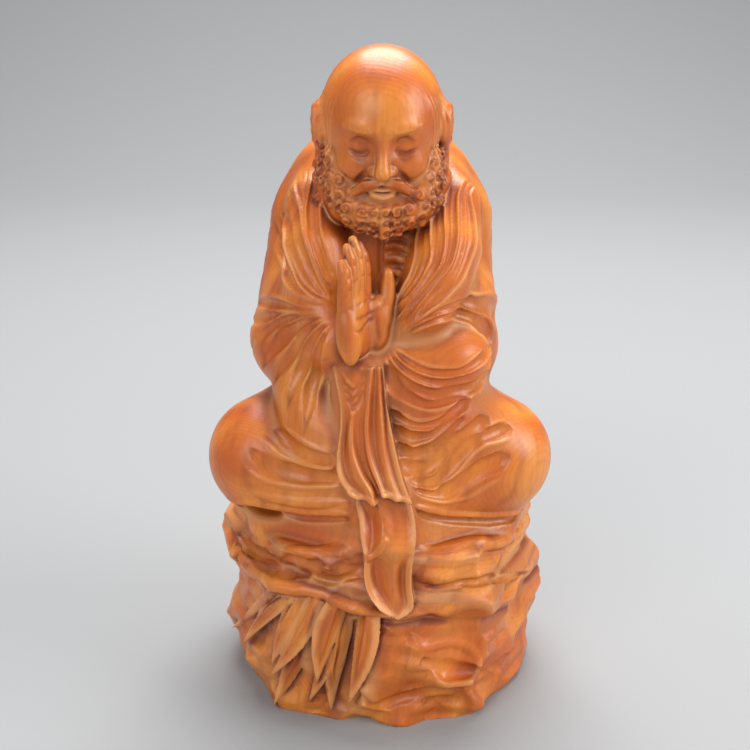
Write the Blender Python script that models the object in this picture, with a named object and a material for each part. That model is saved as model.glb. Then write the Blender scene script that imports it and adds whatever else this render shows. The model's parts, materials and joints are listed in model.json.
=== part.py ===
"""Seated bearded monk on a rock, carved from one block of cypress wood.

The statue is carved as a carver would: masses are added to a block, hollows are
cut from it, and folds are drawn over its surface with strokes of a given width
and height. The block holds, at each point of a grid, the depth below the
surface (negative inside), and its zero surface becomes one closed mesh.

Lengths are in millimetres and become metres in the mesh. The rock has its own
sizes. The figure's points and lengths are in units of which the figure, from
its seat to its crown, is 140 high, so they are shares of FIGURE_HEIGHT.
"""
import bmesh
import bpy
import numpy as np
import openvdb
from math import cos, pi, radians, sin

MM = 0.001

# The rock: its width and depth before the ledge spreads, and its height up to the seat
ROCK_WIDTH = 104.0
ROCK_DEPTH = 86.0
ROCK_HEIGHT = 60.0
# The leaning ledge between the lower block and the seat slab: its thickness, its
# middle as a share of the rock's height, its spread and how it leans across
LEDGE_SLAB = 8.5
LEDGE_LEVEL = 0.70
LEDGE_SPREAD = 1.06
LEDGE_LEAN = (-0.10, 0.0)
# The seat slab's top under the seat, its spread and how it leans
SEAT_DROP = 2.0
SEAT_SPREAD = 0.98
SEAT_LEAN = (0.02, 0.03)
# Rounding of the slabs' edges, waves of the sides, and the gouge's scoops
ROCK_EDGE = 3.5
ROCK_WAVE = 1.6
SCOOP_RADIUS = 17.0
SCOOPS_ROUND = 9
SCOOP_ROWS = (0.16, 0.46)

# The figure, from the seat to the crown
FIGURE_HEIGHT = 140.0
FIGURE_UNITS = 140.0

# The bamboo leaves carved at the front left of the rock
LEAVES = 7
LEAF_LENGTH = 25.0
LEAF_WIDTH = 8.0
LEAF_RISE = 4.6

# The finish of the mesh
GRID_STEP = 0.9
TRIANGLES = 9700

WOOD_COLOUR = (0.56, 0.20, 0.065, 1.0)
WOOD_ROUGHNESS = 0.42

# Depth kept outside the block, and how far beyond a shape its depth is worked out
FAR = 10.0
NEAR = 3.5

# Rock left under the base, which the flat underside then cuts away
SPARE = 7.0


def remove_everything():
    for thing in list(bpy.data.objects):
        bpy.data.objects.remove(thing)


class Frame:
    """A place, a turn and a scale. A local point is scaled, turned, then moved.

    The rows of axes are the directions of the local x, y and z.
    """

    def __init__(self, origin=(0.0, 0.0, 0.0), axes=None, scale=1.0):
        self.origin = np.asarray(origin, float)
        self.turned = axes is not None
        self.axes = np.asarray(axes, float) if self.turned else np.eye(3)
        self.scale = scale

    def place(self, points):
        return self.origin + self.scale * np.asarray(points, float) @ self.axes

    def local(self, x, y, z):
        parts = [(p - o) / self.scale for p, o in zip((x, y, z), self.origin)]
        if not self.turned:
            return parts
        return [sum(p * a for p, a in zip(parts, axis)) for axis in self.axes]

    def child(self, origin, axes=None):
        return Frame(self.place(origin), axes, self.scale)


class Ball:
    """An ellipsoid of three radii."""

    def __init__(self, centre, radii):
        self.centre = np.asarray(centre, float)
        self.radii = np.broadcast_to(np.asarray(radii, float), (3,))
        self.low = self.centre - self.radii
        self.high = self.centre + self.radii

    def depth(self, x, y, z):
        q = [p - c for p, c in zip((x, y, z), self.centre)]
        near = np.sqrt(sum((p / r) ** 2 for p, r in zip(q, self.radii)))
        slope = np.sqrt(sum((p / r ** 2) ** 2 for p, r in zip(q, self.radii)))
        return near * (near - 1.0) / np.maximum(slope, 1e-6)


class Limb:
    """A run of rounded cones through points, each with its own radius."""

    def __init__(self, points, radii, squeeze=(1.0, 1.0, 1.0)):
        self.squeeze = np.asarray(squeeze, float)
        self.points = np.asarray(points, float)
        self.radii = np.broadcast_to(np.asarray(radii, float), (len(self.points),))
        reach = self.radii[:, None] * self.squeeze
        self.low = (self.points - reach).min(0)
        self.high = (self.points + reach).max(0)

    def depth(self, x, y, z):
        q = [p / s for p, s in zip((x, y, z), self.squeeze)]
        points = self.points / self.squeeze
        best = None
        for a, b, ra, rb in zip(points, points[1:], self.radii, self.radii[1:]):
            run = b - a
            rel = [p - o for p, o in zip(q, a)]
            t = sum(r * d for r, d in zip(rel, run)) / (run @ run)
            t = np.clip(t, 0.0, 1.0)
            gap = sum((r - t * d) ** 2 for r, d in zip(rel, run))
            found = np.sqrt(gap) - (ra + (rb - ra) * t)
            best = found if best is None else np.minimum(best, found)
        return best * self.squeeze.min()


class Block:
    """The block that is carved: depths on a grid whose axes are x, y and z."""

    def __init__(self, low, high, step):
        self.axes = [np.arange(a, b + step, step) for a, b in zip(low, high)]
        self.depths = np.full([len(a) for a in self.axes], FAR, np.float32)
        self.low = np.asarray(low, float)
        self.step = step

    def region(self, low, high):
        """Slices of the grid around a box, and the open coordinates there."""
        first = [np.searchsorted(a, v) for a, v in zip(self.axes, low)]
        last = [np.searchsorted(a, v) for a, v in zip(self.axes, high)]
        cut = tuple(slice(max(f, 0), max(e, f + 1)) for f, e in zip(first, last))
        x, y, z = [a[s].astype(np.float32) for a, s in zip(self.axes, cut)]
        return cut, (x[:, None, None], y[None, :, None], z[None, None, :])

    def around(self, shape, frame, fillet):
        """The grid's region near a shape, and the shape's depth there."""
        ends = np.array([shape.low, shape.high])
        corners = [(ends[i, 0], ends[j, 1], ends[k, 2])
                   for i in (0, 1) for j in (0, 1) for k in (0, 1)]
        corners = frame.place(corners)
        reach = 1.5 * fillet * frame.scale + NEAR
        cut, open_axes = self.region(corners.min(0) - reach, corners.max(0) + reach)
        return cut, shape.depth(*frame.local(*open_axes)) * frame.scale

    def add(self, shape, frame, fillet):
        """Joins a shape to the block with a fillet about that wide."""
        cut, depth = self.around(shape, frame, fillet)
        self.depths[cut] = blend(self.depths[cut], depth, fillet * frame.scale)

    def cut(self, shape, frame, fillet):
        """Takes a shape out of the block, with its edge rounded."""
        cut, depth = self.around(shape, frame, fillet)
        self.depths[cut] = -blend(-self.depths[cut], depth, fillet * frame.scale)

    def sample(self, points):
        """The depth at points, between the grid's own by straight lines."""
        place = [(points[:, i] - self.low[i]) / self.step for i in range(3)]
        place = [np.clip(p, 0, len(a) - 1.001) for p, a in zip(place, self.axes)]
        base = [p.astype(int) for p in place]
        part = [p - b for p, b in zip(place, base)]
        total = 0.0
        for i in (0, 1):
            for j in (0, 1):
                for k in (0, 1):
                    weight = 1.0
                    for p, side in zip(part, (i, j, k)):
                        weight = weight * (p if side else 1.0 - p)
                    total = total + weight * self.depths[base[0] + i, base[1] + j, base[2] + k]
        return total

    def settle(self, points):
        """Moves points straight to the surface, down the slope of the depths."""
        points = np.array(points, float)
        for _ in range(6):
            slope = np.stack([self.sample(points + e) - self.sample(points - e)
                              for e in np.eye(3) * self.step], 1)
            slope /= np.maximum(np.linalg.norm(slope, axis=1, keepdims=True), 1e-6)
            points -= slope * self.sample(points)[:, None] * 0.8
        return points

    def strokes(self, paths, width, height, sharp=2.0, taper=0.25):
        """Draws ridges (or grooves, for a negative height) along paths.

        Across a stroke the height is (1 - (distance / width) ** 2) ** sharp. Width and
        height shrink together over the taper share of each end. Where strokes of one
        call meet, the higher wins, so a sharp valley stays between two ridges.
        """
        ends = np.concatenate(paths)
        whole, _ = self.region(ends.min(0) - width, ends.max(0) + width)
        relief = np.zeros(self.depths[whole].shape, np.float32)
        for path in paths:
            along = np.linspace(0.0, 1.0, len(path))
            ease = np.minimum(1.0, np.minimum(along, 1.0 - along) / taper + 0.02) ** 0.6
            for a, b, ea, eb in zip(path, path[1:], ease, ease[1:]):
                here, (x, y, z) = self.region(np.minimum(a, b) - width, np.maximum(a, b) + width)
                run = b - a
                rel = (x - a[0], y - a[1], z - a[2])
                t = sum(r * d for r, d in zip(rel, run)) / max(run @ run, 1e-9)
                t = np.clip(t, 0.0, 1.0)
                size = ea + (eb - ea) * t
                gap = sum((r - t * d) ** 2 for r, d in zip(rel, run)) / (width * size) ** 2
                rise = np.maximum(1.0 - gap, 0.0) ** sharp * size
                spot = tuple(slice(h.start - w.start, h.stop - w.start) for h, w in zip(here, whole))
                relief[spot] = np.maximum(relief[spot], rise)
        self.depths[whole] -= relief * height

    def skin(self):
        """The zero surface as points and quads whose faces point outwards."""
        grid = openvdb.FloatGrid(FAR)
        grid.copyFromArray(self.depths)
        points, quads = grid.convertToQuads(isovalue=0.0)
        points = np.stack([np.interp(points[:, i], np.arange(len(a)), a)
                           for i, a in enumerate(self.axes)], 1)
        return points, quads.astype(np.int32)


def blend(a, b, k):
    """The smaller of two depths, with a fillet about k wide where they meet."""
    near = np.maximum(k - np.abs(a - b), 0.0) / k
    return np.minimum(a, b) - near * near * k * 0.25


def curve(points, spacing=1.6):
    """A smooth curve through points (Catmull-Rom), sampled about every spacing."""
    p = np.asarray(points, float)
    p = np.concatenate([[2 * p[0] - p[1]], p, [2 * p[-1] - p[-2]]])
    runs = []
    for a, b, c, d in zip(p, p[1:], p[2:], p[3:]):
        count = max(2, int(np.linalg.norm(c - b) / spacing))
        t = np.linspace(0.0, 1.0, count, endpoint=False)[:, None]
        runs.append(0.5 * (2 * b + (c - a) * t + (2 * a - 5 * b + 4 * c - d) * t ** 2
                           + (3 * b - a - 3 * c + d) * t ** 3))
    runs.append(p[-2:-1])
    return np.concatenate(runs)


def family(first, last, count):
    """Folds that pass step by step from the first one to the last one."""
    first, last = np.asarray(first, float), np.asarray(last, float)
    return [first + (last - first) * t for t in np.linspace(0.0, 1.0, count)]


def drape(block, frame, folds, width, height, sharp=1.5, taper=0.25):
    """Lays fold lines on the surface as it is and raises or sinks them there."""
    paths = [block.settle(curve(frame.place(fold))) for fold in folds]
    block.strokes(paths, width * frame.scale, height * frame.scale, sharp, taper)


WORLD = Frame()
FIGURE = Frame((0.0, 0.0, ROCK_HEIGHT), scale=FIGURE_HEIGHT / FIGURE_UNITS)
SIDES = (-1, 1)
RIGHT_SIDE, LEFT_SIDE = SIDES

# Corners of the rock's outline: compass angle from the front towards +x, and
# distance from the middle as a share of half the rock's width
ROCK_CORNERS = [(0, 0.81), (12, 0.82), (38, 0.93), (62, 0.87), (90, 0.95), (120, 0.94),
                (150, 0.82), (180, 0.73), (207, 0.79), (240, 0.94), (268, 0.93),
                (290, 0.88), (316, 0.88), (340, 0.81)]
# Swell of the rock's side from its foot up: share of its height, share of its outline
ROCK_SWELL = [(0.0, 0.97), (0.1, 1.0), (0.3, 1.06), (0.5, 1.02), (0.65, 0.985), (1.0, 0.96)]
# Depth over width of the outline, for which the corners are given as if it were round
ROCK_SQUASH = ROCK_DEPTH / (ROCK_WIDTH * ROCK_CORNERS[0][1])


class Rock:
    """A cornered outline carried upwards, with a swelling side and two level ends."""

    def __init__(self, foot, top, lean=(0.0, 0.0), spread=1.0, swelling=False):
        self.foot = foot
        self.top = top
        self.lean = lean
        self.spread = spread
        self.swelling = swelling
        reach = ROCK_WIDTH * 0.56 * max(spread, 1.0)
        rise = reach * max(abs(lean[0]), abs(lean[1]))
        self.low = np.array([-reach, -reach, foot - rise])
        self.high = np.array([reach, reach, top + rise])

    def outline(self, angle):
        """Distance from the middle to the straight sides between the corners."""
        corners = ROCK_CORNERS + [(360, ROCK_CORNERS[0][1])]
        turn = np.radians([c[0] for c in corners])
        far = np.array([c[1] for c in corners]) * ROCK_WIDTH * 0.5 * self.spread
        cx, cy = far * np.sin(turn), far * np.cos(turn)
        edge = np.full(angle.shape, ROCK_WIDTH, np.float32)
        for i in range(len(corners) - 1):
            nx, ny = cy[i] - cy[i + 1], cx[i + 1] - cx[i]
            size = np.hypot(nx, ny)
            facing = (nx * np.sin(angle) + ny * np.cos(angle)) / size
            here = (angle >= turn[i]) & (angle <= turn[i + 1])
            found = (nx * cx[i] + ny * cy[i]) / size / np.maximum(facing, 0.2)
            edge = np.where(here, found, edge)
        return edge

    def depth(self, x, y, z):
        deep = y / ROCK_SQUASH
        turn = np.mod(np.arctan2(x, -deep), 2.0 * pi)
        edge = self.outline(turn)
        if self.swelling:
            share, swell = zip(*ROCK_SWELL)
            edge = edge * np.interp(z / ROCK_HEIGHT, share, swell)
        wave = 0.6 * np.sin(5 * turn + z * 0.21) + 0.4 * np.sin(11 * turn - z * 0.34)
        side = (np.hypot(x, deep) - edge - ROCK_WAVE * wave) * 0.85
        middle = 0.5 * (self.foot + self.top) + self.lean[0] * x + self.lean[1] * y
        level = np.abs(z - middle) - 0.5 * (self.top - self.foot)
        return -blend(-side, -level, ROCK_EDGE)


def on_rock(turn, height, out=0.0):
    """The point of the rock's side at a compass angle in degrees, and a height."""
    turn = radians(turn % 360)
    far = float(Rock(0, 1).outline(np.array([turn]))[0]) + out
    return np.array([far * sin(turn), -far * cos(turn) * ROCK_SQUASH, height])


def carve_rock(block):
    """The lower block, a leaning ledge, the seat slab and scoops all round."""
    level = ROCK_HEIGHT * LEDGE_LEVEL
    half = LEDGE_SLAB / 2
    block.add(Rock(-SPARE, level, swelling=True), WORLD, 1.5)
    block.add(Rock(level - half, level + half, LEDGE_LEAN, LEDGE_SPREAD), WORLD, 1.5)
    block.add(Rock(level, ROCK_HEIGHT - SEAT_DROP, SEAT_LEAN, SEAT_SPREAD), WORLD, 1.5)
    # Scooped chisel faces in staggered rows, with ridges left between them
    for row, share in enumerate(SCOOP_ROWS):
        for i in range(SCOOPS_ROUND):
            turn = 360 * (i + 0.5 * row + 0.15) / SCOOPS_ROUND
            radius = SCOOP_RADIUS * (1.0 + 0.25 * sin(2.3 * i + row))
            spot = on_rock(turn, ROCK_HEIGHT * share, 0.93 * radius)
            block.cut(Ball(spot, radius), WORLD, 1.2)


def carve_cracks(block):
    """Dark clefts between the slabs at the front, and a broken edge on the right.

    Each point is a compass angle and how far it is below the seat.
    """
    cleft = [(-78, 13), (-55, 11.5), (-41, 14), (-26, 13.5), (-8.5, 12.5)]
    right = [(12, 16), (32, 17), (51, 16), (76, 15)]
    ridge = [(11, 33), (21, 31), (29, 33), (35, 38), (38, 46)]
    for line, width, height, sharp in ((cleft, 2.6, -2.2, 1.0), (right, 2.2, -1.6, 1.0),
                                       (ridge, 3.2, 1.8, 1.2)):
        points = [on_rock(turn, ROCK_HEIGHT - below) for turn, below in line]
        block.strokes([block.settle(curve(points))], width, height, sharp, 0.12)


def carve_leaves(block):
    """A fan of pointed bamboo leaves under the ledge, long and short by turns."""
    paths, ribs = [], []
    for i in range(LEAVES):
        t = i / (LEAVES - 1)
        root = on_rock(-46 + 39 * t, ROCK_HEIGHT * LEDGE_LEVEL - LEDGE_SLAB / 2)
        lean = radians(58 - 52 * t)
        long = LEAF_LENGTH * (1.0 if i % 2 else 0.75)
        drop = np.array([-sin(lean), 0.35 * sin(lean), -cos(lean)])
        leaf = [root, root + drop * long * 0.5 + (0, -1.0, 0), root + drop * long]
        path = block.settle(curve(leaf))
        paths.append(path)
        ribs.append(path[1:-2])
    block.strokes(paths, LEAF_WIDTH * 0.5, LEAF_RISE, 0.7, 0.5)
    block.strokes([rib + (0, -1.4, 0) for rib in ribs], 0.9, -0.7, 1.0, 0.3)


def carve_body(block):
    """The stooped trunk, the arms in their wide sleeves, and the robe's front."""
    f = FIGURE
    block.add(Ball((0, 8, 68), (29.5, 24, 48)), f, 8)
    block.add(Ball((0, 9, 92), (29.5, 20, 25)), f, 8)
    block.add(Ball((0, 3, 30), (31, 28, 26)), f, 10)
    block.add(Ball((0, 13, 12), (35, 22, 16)), f, 8)
    block.add(Limb([(0, 8, 104), (0, -8, 112)], (14, 11)), f, 6)
    for side, out in ((RIGHT_SIDE, 26.3), (LEFT_SIDE, 21.2)):
        block.add(Limb([(side * 21.5, 5, 88), (side * out, -3, 55)], (11, 12)), f, 6)
        block.add(Ball((side * (out - 0.5), -6, 51), (12.3, 14, 14)), f, 5)
    # The raised right forearm and the sleeve that hangs from it
    block.add(Limb([(-26, -6, 53), (-13, -27, 58)], (12, 9)), f, 5)
    block.add(Limb([(-21, -20, 42), (-12, -29, 26)], (11, 9)), f, 6)
    # The left forearm across the lap, its covered hand and the cloth under it
    block.add(Limb([(22, -6, 50), (7, -27, 50)], (12, 9)), f, 6)
    block.add(Ball((17, -22, 52), (15, 12, 11)), f, 6)
    block.add(Ball((13, -22, 36), (16, 14, 14)), f, 8)
    block.add(Ball((4, -21, 62), (8, 9, 8)), f, 5)
    block.add(Ball((-1, -24, 48), (11, 11, 11)), f, 4)
    block.add(Ball((23, -16, 27), (16, 16, 14)), f, 8)
    block.add(Ball((-18, -18, 30), (12, 15, 13)), f, 8)


def carve_legs(block):
    """Crossed legs under the robe: thigh, folded shin and the cloth between."""
    f = FIGURE
    for side, knee in ((RIGHT_SIDE, 35.0), (LEFT_SIDE, 34.0)):
        block.add(Limb([(side * 14, 12, 20), (side * knee, -12, 18)], (19, 17.5)), f, 5)
        block.add(Limb([(side * knee, -12, 15), (side * 2, -28, 10)], (15.5, 11)), f, 6)
        # The cloth under the shin, and the rock that rises to meet it
        block.add(Limb([(side * 28, -15, 5), (side * 2, -27, 4)], 7.5), f, 3)
        block.add(Limb([(side * 31, -13, -1), (side * 4, -27, -0.5)], 9.0), f, 6)
    block.add(Ball((6, -14, 20), (28, 21, 17)), f, 6)


def carve_chest(block):
    """The bare chest between the robe's two edges, with breastbone and ribs."""
    f = FIGURE
    right = [(-16.5, 1, 102), (-19.5, -9, 95), (-19, -17, 84), (-17.5, -20, 70), (-13, -24, 62)]
    left = [(16.5, 1, 102), (20, -10, 95), (18.6, -19, 84), (16, -23, 77), (11.5, -25, 69)]
    block.add(Limb(right, (6.5, 8.5, 10, 10, 9)), f, 5)
    block.add(Limb(left, (6.5, 8.5, 10, 10, 9)), f, 5)
    for side in SIDES:
        block.add(Ball((side * 22, -9, 65), (12, 14, 13)), f, 5)
    collar = [(-17, -3, 103), (-13, 9, 108), (0, 15, 110), (13, 9, 108), (17, -3, 103)]
    block.add(Limb(collar, 4.0), f, 3)
    ribs = family([(0, -16, 90), (4, -16, 92), (9, -18, 90)], [(0, -18, 76), (3, -18, 77), (7, -20, 75)], 4)
    drape(block, f, ribs, 1.9, 0.9)
    drape(block, f, [[(0, -16, 94), (-0.3, -16, 84), (-0.5, -18, 74)]], 1.3, -0.7)


def carve_folds(block):
    """Every fold of the robe, each set running from its first line to its last."""
    f = FIGURE
    # From the right shoulder down to the wrist
    fan = family([(-12.5, -31, 70), (-15.5, -27, 82), (-17.5, -22, 94), (-17.5, -16, 106)],
                 [(-14.5, -28, 65), (-24, -17, 69), (-30.5, -9, 79), (-32, 0, 92)], 4)
    drape(block, f, fan, 3.2, 3.0)
    # Around the right elbow
    elbow = family([(-14.5, -29, 64), (-25.7, -18, 65.5), (-34, -12, 64), (-38, -3, 62)],
                   [(-14.5, -34, 61), (-20.5, -30, 57), (-25, -30, 49), (-29, -27, 40)], 4)
    drape(block, f, elbow, 3.4, 3.2)
    # Down the hanging sleeve
    sleeve = family([(-16, -35, 59), (-19, -32, 52), (-21.5, -31, 44), (-23, -31, 33)],
                    [(-12, -38, 56), (-12.5, -38, 48), (-12.5, -38, 40), (-14, -37, 28)], 3)
    drape(block, f, sleeve, 2.4, 2.2)
    # Small hanging loops under the hand
    loops = family([(-11.5, -37, 54), (-7.5, -38, 47.5), (-2.5, -36, 54)],
                   [(-10, -38, 46), (-6.5, -38, 40), (-1.5, -37, 46)], 3)
    drape(block, f, loops, 1.8, 1.8)
    # Hanging arcs under the left forearm
    arcs = family([(1, -35, 54), (8.4, -36, 55), (16.7, -35.5, 52), (25.4, -30, 53), (31, -18, 57)],
                  [(-1, -36, 49), (7, -37, 45), (18, -35.5, 38), (28, -30, 40), (34, -16, 46)], 4)
    drape(block, f, arcs, 3.2, 3.2)
    # Arcs over the left forearm
    over = family([(2.7, -33, 57), (9, -30, 61), (19, -27, 63), (29, -20, 61.5), (33, -10, 57)],
                  [(3.5, -33, 60), (10.4, -27, 66.5), (18.3, -20, 72), (27.4, -13, 72), (32, -4, 68)], 3)
    drape(block, f, over, 2.6, 2.5)
    # From the left shoulder down to the forearm
    drop = family([(26, -6, 106), (25, -15, 92), (20.5, -21, 79), (9, -31, 67)],
                  [(13, -22, 100), (12, -28, 90), (9, -31.5, 80), (3, -34, 67)], 4)
    drape(block, f, drop, 3.0, 3.0)
    # Swags from the stole to the left knee
    swags = family([(-0.8, -37, 46), (5, -36, 42), (15, -36.5, 38), (24, -33, 43)],
                   [(8, -43, 19), (14, -37, 10), (23, -34, 12), (38, -25, 28)], 6)
    drape(block, f, swags, 3.0, 3.2)
    # Arcs over the right shin and knee
    arcs = family([(-27, -30, 37), (-22, -33.5, 33), (-14, -37, 31)],
                  [(-38, -29, 13), (-25, -33, 11), (-11, -36, 14)], 4)
    drape(block, f, arcs, 3.4, 2.1)
    # Long plain folds on the back and down the sides
    back = family([(-21, 20, 104), (-23, 27, 74), (-24, 28, 44), (-30, 26, 12)],
                  [(21, 20, 104), (23, 27, 74), (24, 28, 44), (30, 26, 12)], 6)
    drape(block, f, back, 5.5, 2.4)
    for side in SIDES:
        down = family([(side * 31, 4, 88), (side * 33, 12, 60), (side * 31, 18, 34)],
                      [(side * 37, -2, 64), (side * 37, 4, 48), (side * 35, 12, 32)], 3)
        drape(block, f, down, 4.0, 2.2)
        knee = family([(side * 46, 8, 30), (side * 44, 20, 18), (side * 34, 30, 8)],
                      [(side * 50, 0, 12), (side * 46, 14, 4), (side * 36, 27, 0)], 3)
        drape(block, f, knee, 4.0, 1.8)


def carve_stole(block):
    """The stole: two strips from the wrist over a longer one, with turned edges."""
    f = FIGURE
    block.add(Limb([(0, -30, 16), (4, -32, 2), (4, -34, -12)], (9, 8, 7)), f, 4)
    lower = [(1, -40, 22), (4.5, -42.5, 6), (5, -43.5, -8), (4.5, -43, -19)]
    block.add(Limb(lower, (3.0, 3.0, 3.0, 2.8), (2.4, 1, 1)), f, 1)
    left = [(-8.5, -33, 46), (-8.5, -37.5, 34), (-5.5, -41, 24), (-1.5, -43.5, 15)]
    block.add(Limb(left, (2.6, 2.7, 2.8, 2.6), (1.8, 1, 1)), f, 1)
    right = [(-3, -33, 46), (-2.2, -37.5, 36), (1.2, -41, 25), (5, -43.5, 15)]
    block.add(Limb(right, (2.2, 2.3, 2.5, 2.6), (1.8, 1, 1)), f, 1)
    edges = [[(-13, -36, 47), (-12.5, -40, 31), (-9, -43, 19), (-5, -45, 13.5)],
             [(-6, -37, 48), (-5, -40, 34), (-2, -43, 24), (2.5, -45.5, 14)],
             [(1, -37, 46), (2.3, -40, 34), (5.5, -43, 23), (9.5, -45, 14.5)],
             [(-2.5, -43, 12), (-2, -44, 2), (-2.5, -45, -10), (-1, -45, -19), (4, -46, -21)],
             [(10.5, -43, 12), (11.5, -44, 2), (11, -45, -10), (9.5, -45, -19), (4, -46, -21)],
             [(-5, -45, 14), (-1, -46, 11.5), (2.5, -46, 14), (6, -46, 11.5), (9.5, -45, 14.5)]]
    drape(block, f, edges, 1.7, 1.1, 1.2, 0.1)


HEAD_TILT = radians(12)
HEAD = FIGURE.child((0, -14, 118), [
    (1, 0, 0), (0, -cos(HEAD_TILT), -sin(HEAD_TILT)), (0, -sin(HEAD_TILT), cos(HEAD_TILT))])


def carve_head(block):
    """The bald head in its own frame: x across, y forward through the face, z up."""
    h = HEAD
    block.add(Ball((0, -1.5, 4.6), (17.0, 19.2, 17.6)), h, 1)
    block.add(Ball((0, 3.5, -5), (13.4, 14, 15.5)), h, 4)
    # Fringe of hair round the sides and back
    block.add(Ball((0, -5, 1.5), (18.3, 17.6, 12.5)), h, 1)
    # Brow, closed eyes, nose, cheeks and mouth
    for side in SIDES:
        block.add(Limb([(side * 10, 12.5, 4.3), (side * 6, 15, 6), (side * 2, 16.2, 4.8)], 1.4), h, 2)
        block.cut(Ball((side * 6, 18.6, 0.2), (4.3, 3.6, 3.2)), h, 2)
        block.add(Ball((side * 6, 13.2, 0), (3.7, 2.6, 2.6)), h, 0.6)
        block.add(Ball((side * 7.2, 11.8, -5.6), (4.6, 4.2, 4)), h, 3)
        block.add(Ball((side * 2.4, 17.6, -6.4), 1.6), h, 1)
    block.add(Limb([(0, 15.4, 3), (0, 18.2, -2.2), (0, 19.9, -5.8)], (1.3, 1.7, 2.2)), h, 1.5)
    block.add(Ball((0, 12.6, -12), (6, 4.6, 5)), h, 2)
    block.add(Limb([(-2.8, 16.9, -13.3), (0, 17.4, -13.6), (2.8, 16.9, -13.3)], 1.0), h, 0.8)


def carve_ears(block):
    """Long-lobed ears, each a raised rim round a hollow."""
    h = HEAD
    for side in SIDES:
        block.add(Ball((side * 17.1, 0.5, -3.5), (2.4, 4, 6.5)), h, 0.8)
        block.add(Ball((side * 16.4, 1.2, -11), (1.9, 2.4, 4)), h, 1)
        block.cut(Ball((side * 19.9, 1.2, -3), (1.9, 2.2, 3.8)), h, 0.8)


def carve_beard(block):
    """A full beard from ear to ear set with curls, and a drooping moustache."""
    h = HEAD
    block.add(Ball((0, 8.5, -19), (12.5, 9.5, 8)), h, 2)
    for side in SIDES:
        jaw = [(side * 15.4, 2, -8), (side * 14.8, 5, -14), (side * 10.5, 10, -20), (0, 12.5, -22.5)]
        block.add(Limb(jaw, (3.2, 4.4, 4.8, 4.6)), h, 1.5)
        lip = [(side * 1.2, 17.8, -9.2), (side * 5, 16.9, -11.2), (side * 8.6, 14, -15.4)]
        block.add(Limb(lip, (1.4, 1.6, 1.1)), h, 0.8)
    for row, (low, wide, count) in enumerate(((-15.5, 16.5, 9), (-19.5, 15.5, 10), (-24.5, 13.0, 8))):
        for i in range(count):
            turn = radians(-80 + 160 * (i + 0.5 * (row % 2)) / (count - 1))
            if row == 0 and abs(sin(turn)) < 0.55:
                continue
            spot = (wide * sin(turn), 3 + 13 * cos(turn), low + 6 * (1 - cos(turn)))
            spot = block.settle(h.place([spot]))[0]
            block.add(Ball(spot, 1.9 * h.scale), WORLD, 0.5)


PALM_TURN = radians(50)
PALM_LEAN = radians(11)
HAND = FIGURE.child((-7.0, -34, 57), [
    (cos(PALM_LEAN) * cos(PALM_TURN), cos(PALM_LEAN) * sin(PALM_TURN), sin(PALM_LEAN)),
    (sin(PALM_TURN), -cos(PALM_TURN), 0),
    (-sin(PALM_LEAN) * cos(PALM_TURN), -sin(PALM_LEAN) * sin(PALM_TURN), cos(PALM_LEAN))])


def carve_hand(block):
    """The raised hand in its own frame: x from little finger to index, y out of
    the palm, z towards the fingertips."""
    h = HAND
    block.add(Ball((0, 0, 10), (8, 3.6, 11)), h, 0.8)
    block.add(Limb([(-9, -31, 62), (-15, -24, 57)], (6, 8)), FIGURE, 2)
    block.add(Ball((6.3, 2.4, 8), (4.2, 4, 8.5)), h, 2)
    block.add(Ball((-5.4, 1.2, 6), (3.2, 3.2, 8)), h, 2)
    for across, long in ((-5.4, 12.5), (-2.0, 15.8), (1.5, 17), (4.9, 15.5)):
        finger = [(across * 0.95, 0, 16), (across, 0.6, 16 + long * 0.5), (across, 3.2, 16 + long)]
        block.add(Limb(finger, (2.2, 1.9, 1.45)), h, 0.6)
    block.add(Limb([(7.5, 3.6, 10), (9.8, 4.4, 16), (10.2, 4, 21.5)], (3.1, 2.5, 1.9)), h, 1.2)


def carve():
    """The whole statue, carved in the order that lets each piece lie on the last."""
    reach = max(ROCK_WIDTH * 0.6, FIGURE.scale * 58)
    low = (-reach, -reach, -SPARE - 2 * GRID_STEP)
    high = (reach, reach * 0.9, ROCK_HEIGHT + FIGURE_HEIGHT + 6)
    block = Block(low, high, GRID_STEP)
    carve_body(block)
    carve_legs(block)
    carve_chest(block)
    carve_folds(block)
    carve_rock(block)
    carve_cracks(block)
    carve_leaves(block)
    carve_stole(block)
    carve_head(block)
    carve_ears(block)
    carve_beard(block)
    carve_hand(block)
    return block


def wood():
    """Cypress, oiled and rubbed to a satin gloss."""
    material = bpy.data.materials.new("oiled_cypress")
    material.use_nodes = True
    shader = material.node_tree.nodes["Principled BSDF"]
    shader.inputs["Base Color"].default_value = WOOD_COLOUR
    shader.inputs["Roughness"].default_value = WOOD_ROUGHNESS
    shader.inputs["Metallic"].default_value = 0.0
    return material


def full_mesh(block):
    """The block's skin as a mesh of small quads, in metres."""
    points, quads = block.skin()
    mesh = bpy.data.meshes.new("full_skin")
    mesh.vertices.add(len(points))
    mesh.vertices.foreach_set("co", (points * MM).astype(np.float32).ravel())
    mesh.loops.add(quads.size)
    mesh.loops.foreach_set("vertex_index", quads.ravel())
    mesh.polygons.add(len(quads))
    mesh.polygons.foreach_set("loop_start", np.arange(0, quads.size, 4, dtype=np.int32))
    mesh.update(calc_edges=True)
    return mesh


def fewer_triangles(mesh, count):
    """The mesh with its flat places drawn together, down to about count triangles."""
    thing = bpy.data.objects.new("skin", mesh)
    bpy.context.scene.collection.objects.link(thing)
    modifier = thing.modifiers.new("fewer", "DECIMATE")
    modifier.ratio = count / (2.0 * len(mesh.polygons))
    modifier.use_collapse_triangulate = True
    depsgraph = bpy.context.evaluated_depsgraph_get()
    result = bpy.data.meshes.new_from_object(thing.evaluated_get(depsgraph))
    bpy.data.objects.remove(thing)
    return result


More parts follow.
